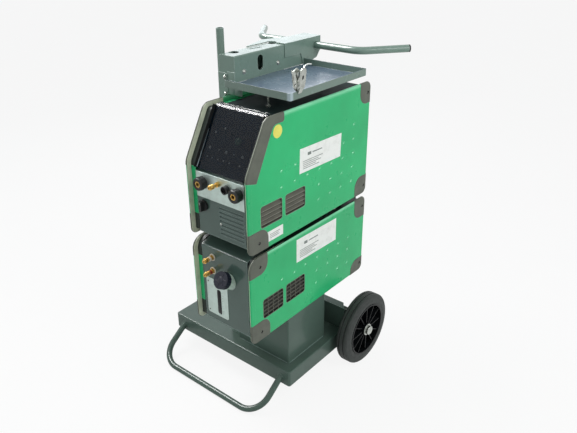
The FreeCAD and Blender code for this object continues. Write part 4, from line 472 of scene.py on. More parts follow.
class Build:
    """One mesh made of turned, swept, cut and boxed parts, in the row frame."""

    def __init__(self):
        self.bm = bmesh.new()

    def add(self, points, faces):
        made = [self.bm.verts.new(p) for p in points]
        for face in faces:
            self.bm.faces.new([made[i] for i in face])
        return self

    def turned(self, origin, axis, profile, segments=32, warp=None):
        """Solid turned about an axis from (radius, height) points; it starts and ends at radius 0."""
        turn = Vector(axis).to_track_quat("Z", "Y").to_matrix()
        points, rings = [], []
        for radius, height in profile:
            if radius <= 0:
                rings.append([len(points)] * segments)
                points.append(Vector(origin) + turn @ Vector((0, 0, height)))
                continue
            rings.append(list(range(len(points), len(points) + segments)))
            for angle in turns(segments):
                r, h = warp(angle, radius, height) if warp else (radius, height)
                points.append(Vector(origin) + turn @ Vector((r * cos(angle), r * sin(angle), h)))
        return self.add(points, strips(rings))

    def ring(self, origin, axis, outline, segments=40, warp=None):
        """Ring turned from a closed (radius, height) outline that stays clear of the axis."""
        turn = Vector(axis).to_track_quat("Z", "Y").to_matrix()
        points, count = [], len(outline)
        for angle in turns(segments):
            for radius, height in outline:
                r, h = warp(angle, radius, height) if warp else (radius, height)
                points.append(Vector(origin) + turn @ Vector((r * cos(angle), r * sin(angle), h)))
        rings = [list(range(k * count, (k + 1) * count)) for k in range(segments)]
        return self.add(points, strips(rings, True))

    def swept(self, line, radius, segments=12, closed=False):
        """Tube along points; radius is a number or a function of the share of the way."""
        line = [Vector(p) for p in line]
        count = len(line)
        size = radius if callable(radius) else (lambda share: radius)
        side, points, rings = None, [], []
        for i, p in enumerate(line):
            ahead = line[(i + 1) % count] if closed else line[min(i + 1, count - 1)]
            behind = line[i - 1] if closed else line[max(i - 1, 0)]
            along = (ahead - behind).normalized()
            side = along.orthogonal() if side is None else side - along * side.dot(along)
            side.normalize()
            other = along.cross(side)
            rings.append(list(range(len(points), len(points) + segments)))
            for angle in turns(segments):
                points.append(p + (side * cos(angle) + other * sin(angle)) * size(i / (count - 1)))
        if not closed:
            return self.add(points, [list(reversed(rings[0])), rings[-1]] + strips(rings))
        first, last = points[0], rings[-1]
        start = min(range(segments), key=lambda k: (points[last[k]] - first).length)
        return self.add(points, strips(rings) + strips([last[start:] + last[:start], rings[0]]))

    def take(self, part, place):
        """Adds another mesh, with its points moved by a function."""
        part.verts.index_update()
        self.add([place(v.co) for v in part.verts], [[v.index for v in f.verts] for f in part.faces])
        part.free()
        return self

    def cut_plate(self, loops, thick, place):
        """Plate of an outline with holes; place maps (a, b, c) to the row frame, c from 0 to thick."""
        part = bmesh.new()
        for loop in loops:
            ring = [part.verts.new((x, y, 0)) for x, y in loop]
            for first, second in zip(ring, ring[1:] + ring[:1]):
                part.edges.new((first, second))
        bmesh.ops.triangle_fill(part, use_beauty=True, use_dissolve=False, edges=part.edges[:])
        grown = bmesh.ops.extrude_face_region(part, geom=part.faces[:])
        top = [g for g in grown["geom"] if isinstance(g, bmesh.types.BMVert)]
        bmesh.ops.translate(part, verts=top, vec=(0, 0, thick))
        return self.take(part, lambda spot: place(*spot))

    def boxed(self, low, high, bevel=0.0004, turn=None):
        """Box between two corners with rounded edges, turned about its own middle if a turn is given."""
        part = bmesh.new()
        bmesh.ops.create_cube(part, size=1.0)
        low, high = Vector(low), Vector(high)
        middle, size = (low + high) / 2, high - low
        for v in part.verts:
            v.co *= size
        bmesh.ops.bevel(part, geom=part.edges[:], offset=bevel, segments=2, profile=0.5, affect="EDGES")
        return self.take(part, lambda spot: middle + (turn @ spot if turn else spot))

    def done(self, name, finish, slot=SAME, body="trolley_and_units", smooth=35, replaced=()):
        """Makes the piece; slot is not used."""
        bmesh.ops.recalc_face_normals(self.bm, faces=self.bm.faces[:])
        data = bpy.data.meshes.new(name)
        self.bm.to_mesh(data)
        self.bm.free()
        obj = new_piece(name, data, finish, body, smooth)
        if replaced:
            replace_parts(obj, *replaced)
        return obj


BOX_FACES = [(3, 2, 1, 0), (4, 5, 6, 7), (0, 1, 5, 4), (1, 2, 6, 5), (2, 3, 7, 6), (3, 0, 4, 7)]


def middle_of(node):
    """Middle of a CAD node's box."""
    low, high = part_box(node)
    return (low + high) / 2


def oval(middle_a, middle_b, half_a, half_b, count=24, power=2.0):
    """Loop of points round an oval; a power above 2 squares it."""
    points = []
    for angle in turns(count):
        c, s = cos(angle), sin(angle)
        points.append((middle_a + half_a * copysign(abs(c) ** (2 / power), c),
                       middle_b + half_b * copysign(abs(s) ** (2 / power), s)))
    return points


def side_place(side, base, y, z, out):
    """Point over a side panel's face: side is 1 for right, -1 for left; y, z and out in millimetres."""
    return Vector((UNIT_X + side * (HALF_W + out / 1000), FRONT + y / 1000, base + z / 1000))


def slope_place(x, up, out):
    """Point over the control panel: across, up its slope and out of it, in millimetres."""
    behind = PANEL_BEHIND - out
    y = FRONT + (SLOPE_FOOT[0] + up * sin(SLANT) + behind * cos(SLANT)) / 1000
    z = POWER_Z + (SLOPE_FOOT[1] + up * cos(SLANT) - behind * sin(SLANT)) / 1000
    return Vector((UNIT_X + x / 1000, y, z))


# Guards and liners share a node but not a colour
LINER_W = 0.0024
for unit in ("power", "cooler"):
    guard_node = unit + "_corner_guards"
    guards = part_of(guard_node, lambda low, high: high[0] - low[0] >= LINER_W, unit + "_guards")
    liners = part_of(guard_node, lambda low, high: high[0] - low[0] < LINER_W, unit + "_liners")
    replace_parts(new_piece(unit + "_guards", guards, "guard_plastic"), guard_node)
    new_piece(unit + "_liners", liners, "liner_plastic")

# Pressed dimples of the side panels: places along and up each panel, in millimetres
POWER_DIMPLES = ((150, 177), (151, 230), (214, 178), (217, 230), (277, 178), (336, 72), (338, 125),
                 (339, 177), (400, 73), (401, 124), (404, 177), (461, 73), (464, 123), (467, 176),
                 (470, 228), (524, 74), (527, 127), (528, 227), (528, 278), (529, 177))
COOLER_DIMPLES = ((147, 177), (211, 174), (270, 177), (330, 75), (332, 125), (334, 176), (392, 73),
                  (394, 176), (396, 123), (457, 74), (457, 124), (457, 177), (517, 72), (517, 127),
                  (520, 175))
DIMPLE_LONG, DIMPLE_SHORT, DIMPLE_OUT, DIMPLE_TILT = 8.4, 3.6, 2.8, radians(34)


def dimple(build, side, base, y, z):
    """Teardrop pressed out of a panel, wider at its lower end."""
    rings, segments = 6, 20
    lean, rise = cos(DIMPLE_TILT), sin(DIMPLE_TILT)
    points = [side_place(side, base, y, z, DIMPLE_OUT)]
    for ring in range(1, rings + 1):
        share = ring / rings
        out = DIMPLE_OUT * 0.5 * (1 + cos(pi * share)) if ring < rings else -0.3
        for angle in turns(segments):
            along = DIMPLE_LONG * share * cos(angle)
            across = DIMPLE_SHORT * share * sin(angle) * (1 - 0.38 * cos(angle))
            points.append(side_place(side, base, y + along * lean - across * rise,
                                     z + along * rise + across * lean, out))
    loops = [[0] * segments] + [list(range(1 + segments * i, 1 + segments * (i + 1))) for i in range(rings)]
    build.add(points, strips(loops) + [loops[-1]])


for unit, base, spots in (("power", POWER_Z, POWER_DIMPLES), ("cooler", COOLER_Z, COOLER_DIMPLES)):
    for side, word in ((1, "right"), (-1, "left")):
        made = Build()
        for y, z in spots:
            dimple(made, side, base, y, z)
        # The dimples take a paler copy of the green: painted highlight.
        made.done(unit + "_dimples_" + word, "dimple_enamel", "side_enamel", smooth=80)


def label(name, base, corners, rules):
    """Thin label between four (y, z) corners on the right panel, a little wavy, with faint ruled lines."""
    def spot(a, b):
        low = Vector(corners[3]).lerp(Vector(corners[2]), a)
        return low.lerp(Vector(corners[0]).lerp(Vector(corners[1]), a), b)

    across, upward = 24, 12
    points, faces = [], []
    for layer in (0, 1):
        for i in range(across + 1):
            for j in range(upward + 1):
                a, b = i / across, j / upward
                out = 0.34 + 0.08 * sin(9 * a + corners[0][0]) * sin(7 * b) if layer else -0.1
                points.append(side_place(1, base, *spot(a, b), out))
    step, layer_size = upward + 1, (across + 1) * (upward + 1)
    for i in range(across):
        for j in range(upward):
            quad = (i * step + j, i * step + j + 1, (i + 1) * step + j + 1, (i + 1) * step + j)
            faces += [quad, tuple(layer_size + c for c in reversed(quad))]
    rim = [i * step for i in range(across + 1)]
    rim += [across * step + j for j in range(1, upward + 1)]
    rim += [i * step + upward for i in range(across - 1, -1, -1)]
    rim += list(range(upward - 1, 0, -1))
    faces += [(a, b, layer_size + b, layer_size + a) for a, b in zip(rim, rim[1:] + rim[:1])]
    Build().add(points, faces).done(name, "label_paper", None, smooth=30)
    made = Build()
    for a0, a1, b, height in rules:
        quad = [spot(a0, b), spot(a1, b), spot(a1, b + height), spot(a0, b + height)]
        made.add([side_place(1, base, y, z, out) for out in (0.2, 0.5) for y, z in quad], BOX_FACES)
    made.done(name + "_rules", "label_ink", None, smooth=30)


RULE_WIDTHS = (0.46, 0.36, 0.42, 0.30, 0.38)
RULES = [(0.08, 0.08 + width, 0.44 - 0.075 * i, 0.026) for i, width in enumerate(RULE_WIDTHS)]
RULES += [(0.18, 0.26, 0.64, 0.12), (0.29, 0.52, 0.68, 0.045)]
SMALL_RULES = [(0.15, 0.80, 0.62, 0.05), (0.15, 0.70, 0.45, 0.05), (0.15, 0.76, 0.28, 0.05)]
label("power_label", POWER_Z, ((238, 271), (456, 266), (452, 186), (236, 191)), RULES)
label("power_small_label", POWER_Z, ((83, 53), (155, 53), (155, 19), (83, 19)), SMALL_RULES)
label("cooler_label", COOLER_Z, ((222, 288), (441, 283), (441, 199), (222, 204)), RULES)
Build().turned(side_place(1, POWER_Z, 136, 355, 0), (1, 0, 0),
               [(0, -0.0001), (0.0195, -0.0001), (0.0198, 0.0002), (0.0192, 0.00038), (0.0150, 0.00042),
                (0.0146, 0.00025), (0.0139, 0.00025), (0.0135, 0.00042), (0.006, 0.00042), (0, 0.00042)],
               48).done("power_sticker", "sticker_yellow", None, smooth=20)


def cross_head(build, origin, axis, radius, height):
    """Domed screw head with a cross recess."""
    def sink(angle, r, h):
        a, b = abs(r * cos(angle)), abs(r * sin(angle))
        deep = h > height * 0.4 and min(a, b) < radius * 0.17 and max(a, b) < radius * 0.62
        return r, h - (height * 0.5 if deep else 0.0)

    steps = [(i + 1) / 10 * pi / 2 for i in range(9)]
    profile = [(0, -0.001), (radius, -0.001), (radius, height * 0.3)]
    profile += [(radius * cos(t), height * (0.3 + 0.7 * sin(t))) for t in steps]
    build.turned(origin, axis, profile + [(0, height * 0.5)], 40, sink)


def washer(build, origin, axis, radius, thick):
    profile = [(0, -0.0003), (radius, -0.0003), (radius, thick * 0.7), (radius * 0.94, thick), (0, thick)]
    build.turned(origin, axis, profile, 32)


# Screws: sunk in the guards, on washers in the frame
guard_screws, frame_screws, recess_shade = Build(), Build(), Build()
SUNK = 0.0028
for members, low, high in islands("screws"):
    middle = (low + high) / 2
    if high[0] - low[0] > 0.02:
        side = 1 if middle[0] > UNIT_X else -1
        outside = high[0] if side > 0 else low[0]
        seat = Vector((outside - side * SUNK, middle[1], middle[2]))
        cross_head(guard_screws, seat, (side, 0, 0), 0.0034, 0.0017)
        # Black cups lining the guards' screw holes: painted shade in the recesses.
        recess_shade.turned(seat, (side, 0, 0), [(0, -0.0006), (0.0052, -0.0006), (0.0052, SUNK - 0.0002),
                                             (0.0048, SUNK), (0.0044, 0.0004), (0, 0.0003)], 32)
    elif high[0] - low[0] > high[1] - low[1]:
        washer(frame_screws, (high[0] - 0.0032, middle[1], middle[2]), (1, 0, 0), 0.0078, 0.0011)
        cross_head(frame_screws, (high[0] - 0.0023, middle[1], middle[2]), (1, 0, 0), 0.0050, 0.0026)
    else:
        washer(frame_screws, (middle[0], high[1], middle[2]), (0, -1, 0), 0.0074, 0.0011)
        cross_head(frame_screws, (middle[0], high[1] - 0.0008, middle[2]), (0, -1, 0), 0.0048, 0.0022)
recess_shade.done("screw_recess_shade", "black_plastic")
guard_screws.done("guard_screws", "dark_zinc", "zinc_steel")
frame_screws.done("frame_screws", "zinc_steel", replaced=("screws",))

# Knurled collars on the three outlets
COLLAR = [(0.0051, 0.0), (0.0074, 0.0), (0.0080, 0.0007), (0.0080, 0.0026), (0.0070, 0.0032),
          (0.0070, 0.0042), (0.0080, 0.0048), (0.0080, 0.0076), (0.0080, 0.0104), (0.0070, 0.0110),
          (0.0070, 0.0118), (0.0080, 0.0124), (0.0080, 0.0134), (0.0074, 0.0140), (0.0051, 0.0140)]


def knurl(angle, radius, height):
    grip = radius > 0.0078 and 0.0045 < height < 0.0106
    return radius - (0.0010 * (0.5 + 0.5 * cos(8 * angle)) if grip else 0.0), height


for node, body in (("feed_collar", "coolant_feed_collar"), ("return_collar", "coolant_return_collar"),
                   ("gas_outlet_collar", "gas_collar")):
    middle = middle_of(node)
    made = Build().ring((middle.x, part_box(node)[0].y, middle.z), (0, 1, 0), COLLAR, 64, knurl)
    made.done(node + "_grip", "brass", "brass", body, 30, (node,))

# Coloured rings behind the coolant collars
PANEL_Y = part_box("gauge_plate")[1].y
RING = [(0.00502, 0), (0.0072, 0), (0.0078, 0.0006), (0.0078, 0.0056), (0.0072, 0.0062), (0.00502, 0.0062)]
SEAT = [(0.00905, 0), (0.0118, 0), (0.0122, 0.0004), (0.0122, 0.0022), (0.00905, 0.0022)]
for name, ring_finish in (("feed", "pale_plastic"), ("return", "red_plastic")):
    at = middle_of(name + "_collar")
    Build().ring((at.x, PANEL_Y - 0.0166, at.z), (0, 1, 0), RING, 40).done(
        name + "_ring", ring_finish, "tank_plastic")
    Build().ring((at.x, PANEL_Y - 0.0022, at.z), (0, 1, 0), SEAT, 40).done(
        name + "_seat", "pale_plastic", "tank_plastic", smooth=20)

# Current sockets: a brass star round each mouth, a black ring round the star, and grips
contact_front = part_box("socket_contacts")[0].y
POINT_R, NOTCH_R, MOUTH_R = 0.0098, 0.0078, 0.0067
FACE_THICK, GRIP_R, GRIP_LONG = 0.0009, 0.0202, 0.012
STAR = [(POINT_R if k % 8 in (0, 1, 7) else NOTCH_R, angle) for k, angle in enumerate(turns(48))]
FACE_LOOPS = [[(r * cos(t), r * sin(t)) for r, t in STAR], oval(0, 0, MOUTH_R, MOUTH_R, 48)]
RING_LOOPS = [oval(0, 0, r, r, 48) for r in (0.0119, 0.0101)]
for index, (members, low, high) in enumerate(islands("socket_contacts")):
    face = Vector(((low[0] + high[0]) / 2, contact_front, (low[2] + high[2]) / 2))
    for name, finish, loops in (("contact_face_", "brass", FACE_LOOPS),
                                ("contact_ring_", "black_plastic", RING_LOOPS)):
        made = Build()
        made.cut_plate(loops, FACE_THICK, lambda a, b, c, face=face: face + Vector((a, -c, b)))
        made.done(name + str(index + 1), finish, smooth=25)
    made = Build()
    for angle in turns(12):
        start = face + Vector((cos(angle) * GRIP_R, 0.003, sin(angle) * GRIP_R))
        made.swept([start, start + Vector((0, GRIP_LONG, 0))], 0.0009, 8)
    made.done("socket_grips_" + str(index + 1), "black_plastic")

# Control panel under the smoked cover: lamps, display windows, the knob's ribs and mark
PANEL_LAMPS = ((-79, 119, 3.6), (-47, 136, 3.2), (-83, 42, 2.8), (-63, 42, 2.8), (-39, 42, 2.8),
               (-16, 42, 3.2), (8, 42, 2.8), (49, 42, 3.2), (79, 42, 2.8), (-46, 70, 2.4),
               (16, 69, 2.4), (80, 69, 2.8))
made = Build()
for x, up, radius in PANEL_LAMPS:
    r = radius / 1000
    made.turned(slope_place(x, up, -0.2), SLOPE_OUT,
                [(0, 0), (r, 0), (r, 0.0010), (r * 0.8, 0.0016), (r * 0.4, 0.0019), (0, 0.0020)], 20)
made.done("panel_lamps", "button_plastic")
made = Build()
SLOPE_TURN = Matrix.Rotation(-SLANT, 3, "X")
for x0, x1, up0, up1 in ((-34, -4, 112, 128), (44, 84, 98, 126)):
    middle = slope_place((x0 + x1) / 2, (up0 + up1) / 2, 0.4)
    half = Vector(((x1 - x0) / 2000, 0.0008, (up1 - up0) / 2000))
    made.boxed(middle - half, middle + half, 0.0005, SLOPE_TURN)
made.done("panel_windows", "black_gloss", "black_plastic")
knob_at = slope_place(21, 109, 0.0)
KNOB_R, KNOB_LOW, KNOB_HIGH = 0.0108, 0.0022, 0.0086
made = Build()
for angle in turns(20):
    foot = knob_at + (ACROSS * cos(angle) + SLOPE_UP * sin(angle)) * KNOB_R
    made.swept([foot + SLOPE_OUT * KNOB_LOW, foot + SLOPE_OUT * KNOB_HIGH], 0.0006, 8)
made.done("knob_grips", "knob_plastic", "knob_plastic", "knob")
mark = knob_at + SLOPE_OUT * 0.0096
Build().swept([mark + SLOPE_UP * 0.003, mark + SLOPE_UP * 0.0095], 0.0007, 8).done(
    "knob_mark", "pale_plastic", "knob_plastic", "knob")

# Cover: rounded side edges in a pale glossy colour, painted reflection; black sheets beside it on the side
# panels' inner faces, painted shade
COVER_HALF, COVER_LINE, SIDE_WALL = 98.4, 13.8, 101.0
SHADOW_SHEET = ((0, 0), (196, 0), (196, 25.5), (0, 25.5))
made, side_shadows = Build(), Build()
for side in (-1, 1):
    made.swept([slope_place(side * COVER_HALF, up, COVER_LINE) for up in (3, 30, 60, 90, 124)],
               lambda share: 0.0019 - 0.0012 * share, 10)
    walls = [side * x for x in (SIDE_WALL - 0.6, SIDE_WALL + 0.1)]
    # Black sheets on the side panels' inner faces beside the cover: painted shade.
    side_shadows.add([slope_place(x, up, out) for x in walls for up, out in SHADOW_SHEET], BOX_FACES)
made.done("cover_edges", "clear_edge", "smoked_plastic", "cover")
side_shadows.done("cover_side_shadows", "black_plastic")

# Gauge: dark sight glass behind its opening, marks beside it and two small screws
plate_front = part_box("gauge_plate")[0].y
made = Build().boxed((UNIT_X - 0.0399, plate_front + 0.0003, COOLER_Z + 0.0451),
                     (UNIT_X - 0.0221, PANEL_Y + 0.0005, COOLER_Z + 0.1399))
made.done("sight_glass", "black_gloss", "black_plastic")
made = Build()
for i in range(9):
    z = COOLER_Z + 0.052 + 0.010 * i
    made.boxed((UNIT_X - 0.0190, plate_front - 0.0002, z),
               (UNIT_X - (0.0110 if i in (1, 7) else 0.0150), plate_front + 0.0003, z + 0.0012), 0.0001)
made.done("gauge_marks", "label_ink", "strip_aluminium")
made = Build()
for z in (0.158, 0.048):
    cross_head(made, (UNIT_X - 0.078, plate_front, COOLER_Z + z), (0, -1, 0), 0.0030, 0.0014)
made.done("gauge_screws", "dark_zinc", "zinc_steel")

# Closing plate between the front upright and the beam, and a screw beside the front louvres
PLATE_LOW, PLATE_BACK = 1.0552, -0.1556
made = Build()
for x0, x1, y, top in ((0.0028, 0.0323, -0.1572, 1.1250), (0.0320, 0.0620, -0.1570, 1.0904)):
    made.boxed((x0, y, PLATE_LOW), (x1, PLATE_BACK, top))
made.done("beam_front_plate", "upper_enamel", "body_enamel")
made = Build()
screw_at = (UNIT_X - 0.004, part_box("power_front_panel")[0].y, POWER_Z + 0.065)
cross_head(made, screw_at, (0, -1, 0), 0.0036, 0.0016)
made.done("front_screw", "zinc_steel")

# Filler cap: raised hub and six ribs on its face
cap_low, cap_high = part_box("filler_cap")
CAP_AXIS = Vector((0, -0.8572, 0.5150))
CAP_R = (cap_high.x - cap_low.x) / 2
RIB_FROM, RIB_IN = 0.009, 0.006
cap_across = CAP_AXIS.cross(ACROSS).normalized()
CAP_AT = Vector((0.153, -0.3418, 0.52))
CAP_HUB = [(0, -0.0006), (0.0105, -0.0006), (0.0105, 0.0008), (0.0095, 0.0014), (0, 0.0016)]
cap_points = (v.co for v in nodes["filler_cap"].data.vertices)
cap_face = max(cap_points, key=lambda p: round(p.dot(CAP_AXIS), 6))
cap_top = CAP_AT + CAP_AXIS * (cap_face - CAP_AT).dot(CAP_AXIS)
made = Build()
made.turned(cap_top, CAP_AXIS, CAP_HUB, 36)
for k in range(6):
    angle = pi / 3 * k + 0.3
    out = ACROSS * cos(angle) + cap_across * sin(angle)
    made.swept([cap_top + out * RIB_FROM, cap_top + out * (CAP_R - RIB_IN)], 0.0014, 10)
made.done("cap_ribs", "cap_plastic", "black_plastic", "cap")

# Main switch: pale pointer on the grip bar
low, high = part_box("main_switch")
mark_x = (low.x + high.x) / 2
made = Build().swept([(mark_x, low.y - 0.0001, high.z - down) for down in (0.004, 0.012)], 0.0008, 8)
made.done("switch_mark", "pale_plastic", "button_plastic", "switch")

# Grilles: plain louvres above, with pale lips as painted highlight and dark strips under them as painted
# shadow;
# below, the lower grilles in a dark colour as painted shade, behind a lattice with a rounded rim; black
# plates behind all as painted shade
upper = part_of("side_grilles", lambda low, high: low[2] > POWER_Z, "power_grilles")
lower = part_of("side_grilles", lambda low, high: low[2] < POWER_Z, "cooler_grilles")
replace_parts(new_piece("power_grilles", upper, "grille_plastic"), "side_grilles")
new_piece("cooler_grilles", lower, "shadow_plastic")
LATTICE_R, LATTICE_W, LATTICE_OUT = 0.0090, 0.0026, 0.0004
BLADES, BLADE_PITCH, GRILLE_WALL = 4, 0.014375, 0.0025
BACKING_IN, LOUVRE_IN = 0.004, 0.006


def rounded(y0, z0, y1, z1, radius, steps=6):
    """Loop of points round a rectangle with rounded corners."""
    points = []
    corners = ((y1 - radius, z1 - radius), (y0 + radius, z1 - radius), (y0 + radius, z0 + radius),
               (y1 - radius, z0 + radius))
    for start, (y, z) in enumerate(corners):
        for i in range(steps + 1):
            angle = pi / 2 * (start + i / steps)
            points.append((y + radius * cos(angle), z + radius * sin(angle)))
    return points


made, backing_and_shadows, lips = Build(), Build(), Build()
for members, low, high in islands("side_grilles"):
    side = 1 if low[0] > UNIT_X else -1
    inner, outer = (low[0], high[0]) if side > 0 else (high[0], low[0])
    # Black backing plate behind each grille: painted shade.
    backing_and_shadows.boxed((inner - 0.0012, low[1] + BACKING_IN, low[2] + BACKING_IN),
                  (inner + 0.0004, high[1] - BACKING_IN, high[2] - BACKING_IN))

    def slab(build, behind_a, behind_b, y, z):
        """Box between two distances behind the grille's outer face."""
        x = sorted((outer - side * behind_a, outer - side * behind_b))
        build.boxed((x[0], y[0], z[0]), (x[1], y[1], z[1]))

    if low[2] > POWER_Z:
        y = (low[1] + LOUVRE_IN, high[1] - LOUVRE_IN)
        for i in range(BLADES):
            z = low[2] + 2 * GRILLE_WALL + BLADE_PITCH * (i + 0.5)
            # Pale lip on each louvre: painted highlight.
            slab(lips, -0.0002, 0.0016, y, (z - 0.0002, z + 0.0018))
            # Dark strip under each lip: painted shadow.
            slab(backing_and_shadows, 0.0010, 0.0028, y, (z - 0.0026, z - 0.0004))
        continue
    y0, y1, z0, z1 = low[1] + 0.0025, high[1] - 0.0025, low[2] + 0.0025, high[2] - 0.0025
    w = LATTICE_W
    rim = [rounded(y0, z0, y1, z1, LATTICE_R), rounded(y0 + w, z0 + w, y1 - w, z1 - w, LATTICE_R - w)]
    made.cut_plate(rim, 0.0016, lambda a, b, c, outer=outer, side=side: Vector(
        (outer + side * (LATTICE_OUT - c), a, b)))
    for i in range(1, 5):
        z = z0 + (z1 - z0) * i / 5
        slab(made, 0.0, 0.0030, (y0 + 0.001, y1 - 0.001), (z - 0.0011, z + 0.0011))
    for i in range(1, 4):
        y = y0 + (y1 - y0) * i / 4
        slab(made, 0.0006, 0.0026, (y - 0.0016, y + 0.0016), (z0 + 0.001, z1 - 0.001))
made.done("cooler_lattice", "grille_plastic", "guard_plastic", smooth=30)
lips.done("louvre_lips", "lip_plastic", "guard_plastic", smooth=30)
backing_and_shadows.done("grille_backing_and_shadows", "black_plastic")

# Work clamp: two pressed halves on a pin with a coil spring, and a bright cable stud
CLAMP_Y = middle_of("work_clamp_body").y
PIN_AT = Vector((0.2875, CLAMP_Y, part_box("work_clamp_body")[0].z + 0.038))
LIP_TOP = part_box("accessory_tray")[1].z


def clamp_plate(build, side, tip, knee, head, half_w, hole_half, hole_at, round_top=True, thick=0.0015):
    """Pressed plate: a narrow jaw from tip to knee, then a holed arm with a round or slanted top."""
    jaw = (knee - tip).length
    arm = (head - knee).length
    outline = [(-half_w * 0.75, 0), (half_w * 0.75, 0), (half_w, arm * 0.22)]
    if round_top:
        steps = [pi * i / 12 for i in range(13)]
        outline += [(half_w * cos(t), arm - half_w + half_w * sin(t)) for t in steps]
    else:
        outline += [(half_w, arm - 0.003), (half_w - 0.003, arm), (-half_w + 0.003, arm - 0.008),
                    (-half_w, arm - 0.012)]
    outline.append((-half_w, arm * 0.22))
    hole = oval(0, arm * hole_at, hole_half[0], hole_half[1], 24, 2.4)
    grip = [(-half_w * 0.55, 0), (half_w * 0.55, 0), (half_w * 0.75, jaw), (-half_w * 0.75, jaw)]
    for foot, top, loops in ((tip, knee, [grip]), (knee, head, [outline, hole])):
        up_dir = (top - foot).normalized()
        out = Vector((up_dir.z, 0, -up_dir.x)) * side
        build.cut_plate(loops, thick, lambda a, b, c: foot + up_dir * b + Vector((0, a, 0)) - out * c)


def cheek(build, y, outline, holes, thick=0.0014):
    """Side cheek of a clamp half, with triangular cut-outs."""
    points = [[(x, LIP_TOP + z) for x, z in loop] for loop in [outline] + holes]
    build.cut_plate(points, thick, lambda a, b, c: Vector((a, y + c, b)))


def clamp_spot(x, up):
    return Vector((x, CLAMP_Y, LIP_TOP + up))


body_half, dark = Build(), Build()
clamp_plate(body_half, 1, clamp_spot(0.2898, -0.007), clamp_spot(0.2990, 0.011), clamp_spot(0.3040, 0.067),
            0.0135, (0.0038, 0.0062), 0.50)
# Black sheet behind the outer half's hole: painted shadow.
dark.boxed((0.2990, CLAMP_Y - 0.007, LIP_TOP + 0.028), (0.2996, CLAMP_Y + 0.007, LIP_TOP + 0.048), 0.0002)
for y in (CLAMP_Y - 0.0116, CLAMP_Y + 0.0102):
    cheek(body_half, y, [(0.2905, 0.004), (0.2992, 0.012), (0.3020, 0.045), (0.2965, 0.040), (0.2870, 0.026),
                         (0.2840, 0.016)], [[(0.2925, 0.014), (0.2975, 0.018), (0.2975, 0.032)]])
body_half.turned(PIN_AT - Vector((0, 0.0168, 0)), (0, 1, 0),
                 [(0, 0), (0.0032, 0), (0.0034, 0.0006), (0.0024, 0.0010), (0.0024, 0.0326), (0.0034, 0.0330),
                  (0.0032, 0.0336), (0, 0.0336)], 20)
body_half.done("clamp_outer_half", "zinc_steel", replaced=("work_clamp_body",))
dark.done("clamp_hole_shadow", "black_plastic")
jaw_half, dark = Build(), Build()
clamp_plate(jaw_half, -1, clamp_spot(0.2862, -0.007), clamp_spot(0.2765, 0.010), clamp_spot(0.2700, 0.060),
            0.0138, (0.0030, 0.0060), 0.62, False)
for y in (CLAMP_Y - 0.0138, CLAMP_Y + 0.0124):
    cheek(jaw_half, y, [(0.2850, 0.002), (0.2905, 0.016), (0.2895, 0.034), (0.2840, 0.052), (0.2705, 0.058),
                        (0.2768, 0.010)],
          [[(0.2800, 0.014), (0.2860, 0.018), (0.2868, 0.028)],
           [(0.2780, 0.026), (0.2800, 0.046), (0.2745, 0.048)]])
# Black sheets just inside the jaw half's cheeks, seen through the cut-outs: painted shadow.
for low_y, high_y in ((-0.01232, -0.01185), (0.01185, 0.01232)):
    dark.boxed((0.2782, CLAMP_Y + low_y, LIP_TOP + 0.013), (0.2866, CLAMP_Y + high_y, LIP_TOP + 0.047),
               0.0001)
jaw_half.done("clamp_inner_half", "zinc_steel", "zinc_steel", "clamp_jaw", replaced=("work_clamp_jaw",))
dark.done("clamp_jaw_shadows", "black_plastic", "black_plastic", "clamp_jaw")
coil = [PIN_AT + Vector((0.0052 * cos(t), -0.0085 + 0.017 * i / 96, 0.0052 * sin(t)))
        for i, t in enumerate([2 * pi * 6 * k / 96 for k in range(97)])]
Build().swept(coil, 0.0010, 8).done("clamp_spring", "dark_zinc", "zinc_steel")
hook = [(0.2990, 0.002, 0.050), (0.2985, 0.005, 0.060), (0.2970, 0.012, 0.0670), (0.2945, 0.022, 0.0700),
        (0.2925, 0.035, 0.0695), (0.2910, 0.050, 0.0665)]
Build().swept([Vector((x, CLAMP_Y + y, LIP_TOP + z)) for x, y, z in hook], 0.0017, 12).done(
    "clamp_stud", "bright_zinc", "zinc_steel")

# Wheels: bright stepped hub washers
HUB_WASHER = [(0.0176, 0), (0.0222, 0), (0.0228, 0.0006), (0.0222, 0.0014), (0.0176, 0.0014)]
for word, body, side in (("right", "wheel_right", 1), ("left", "wheel_left", -1)):
    low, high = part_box("rim_" + word)
    middle = middle_of("rim_" + word)
    middle.x = (high.x if side > 0 else low.x) - side * 0.0008
    made = Build().ring(middle, (side, 0, 0), HUB_WASHER, 48)
    made.done("hub_washer_" + word, "zinc_steel", "zinc_steel", body)


def bead(build, line, radius=0.0022, step=0.0030, closed=False):
    """Rippled weld bead along points."""
    points = [Vector(p) for p in line]
    if closed:
        points.append(points[0])
    walk = []
    for first, second in zip(points, points[1:]):
        count = max(2, round((second - first).length / (step / 4)))
        walk += [first.lerp(second, i / count) for i in range(count)]
    if not closed:
        walk.append(points[-1])
    last = len(walk) - 1
    build.swept(walk, lambda share: radius * (0.84 + 0.16 * cos(pi / 2 * share * last)), 8, closed)


made = Build()
post_low, post_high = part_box("hose_post")
foot_low, foot_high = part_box("pedestal")
post = middle_of("hose_post")
WELD_CORNER = 0.012
post_line = oval(post.x, post.y, (post_high.x - post_low.x) / 2, (post_high.x - post_low.x) / 2, 48)
foot_line = rounded(foot_low.x, foot_low.y, foot_high.x, foot_high.y, WELD_CORNER)
bead(made, [(x, y, foot_low.z + 0.0005) for x, y in post_line], closed=True)
bead(made, [(x, y, foot_low.z + 0.0008) for x, y in foot_line], closed=True)
made.done("weld_beads", "body_enamel")

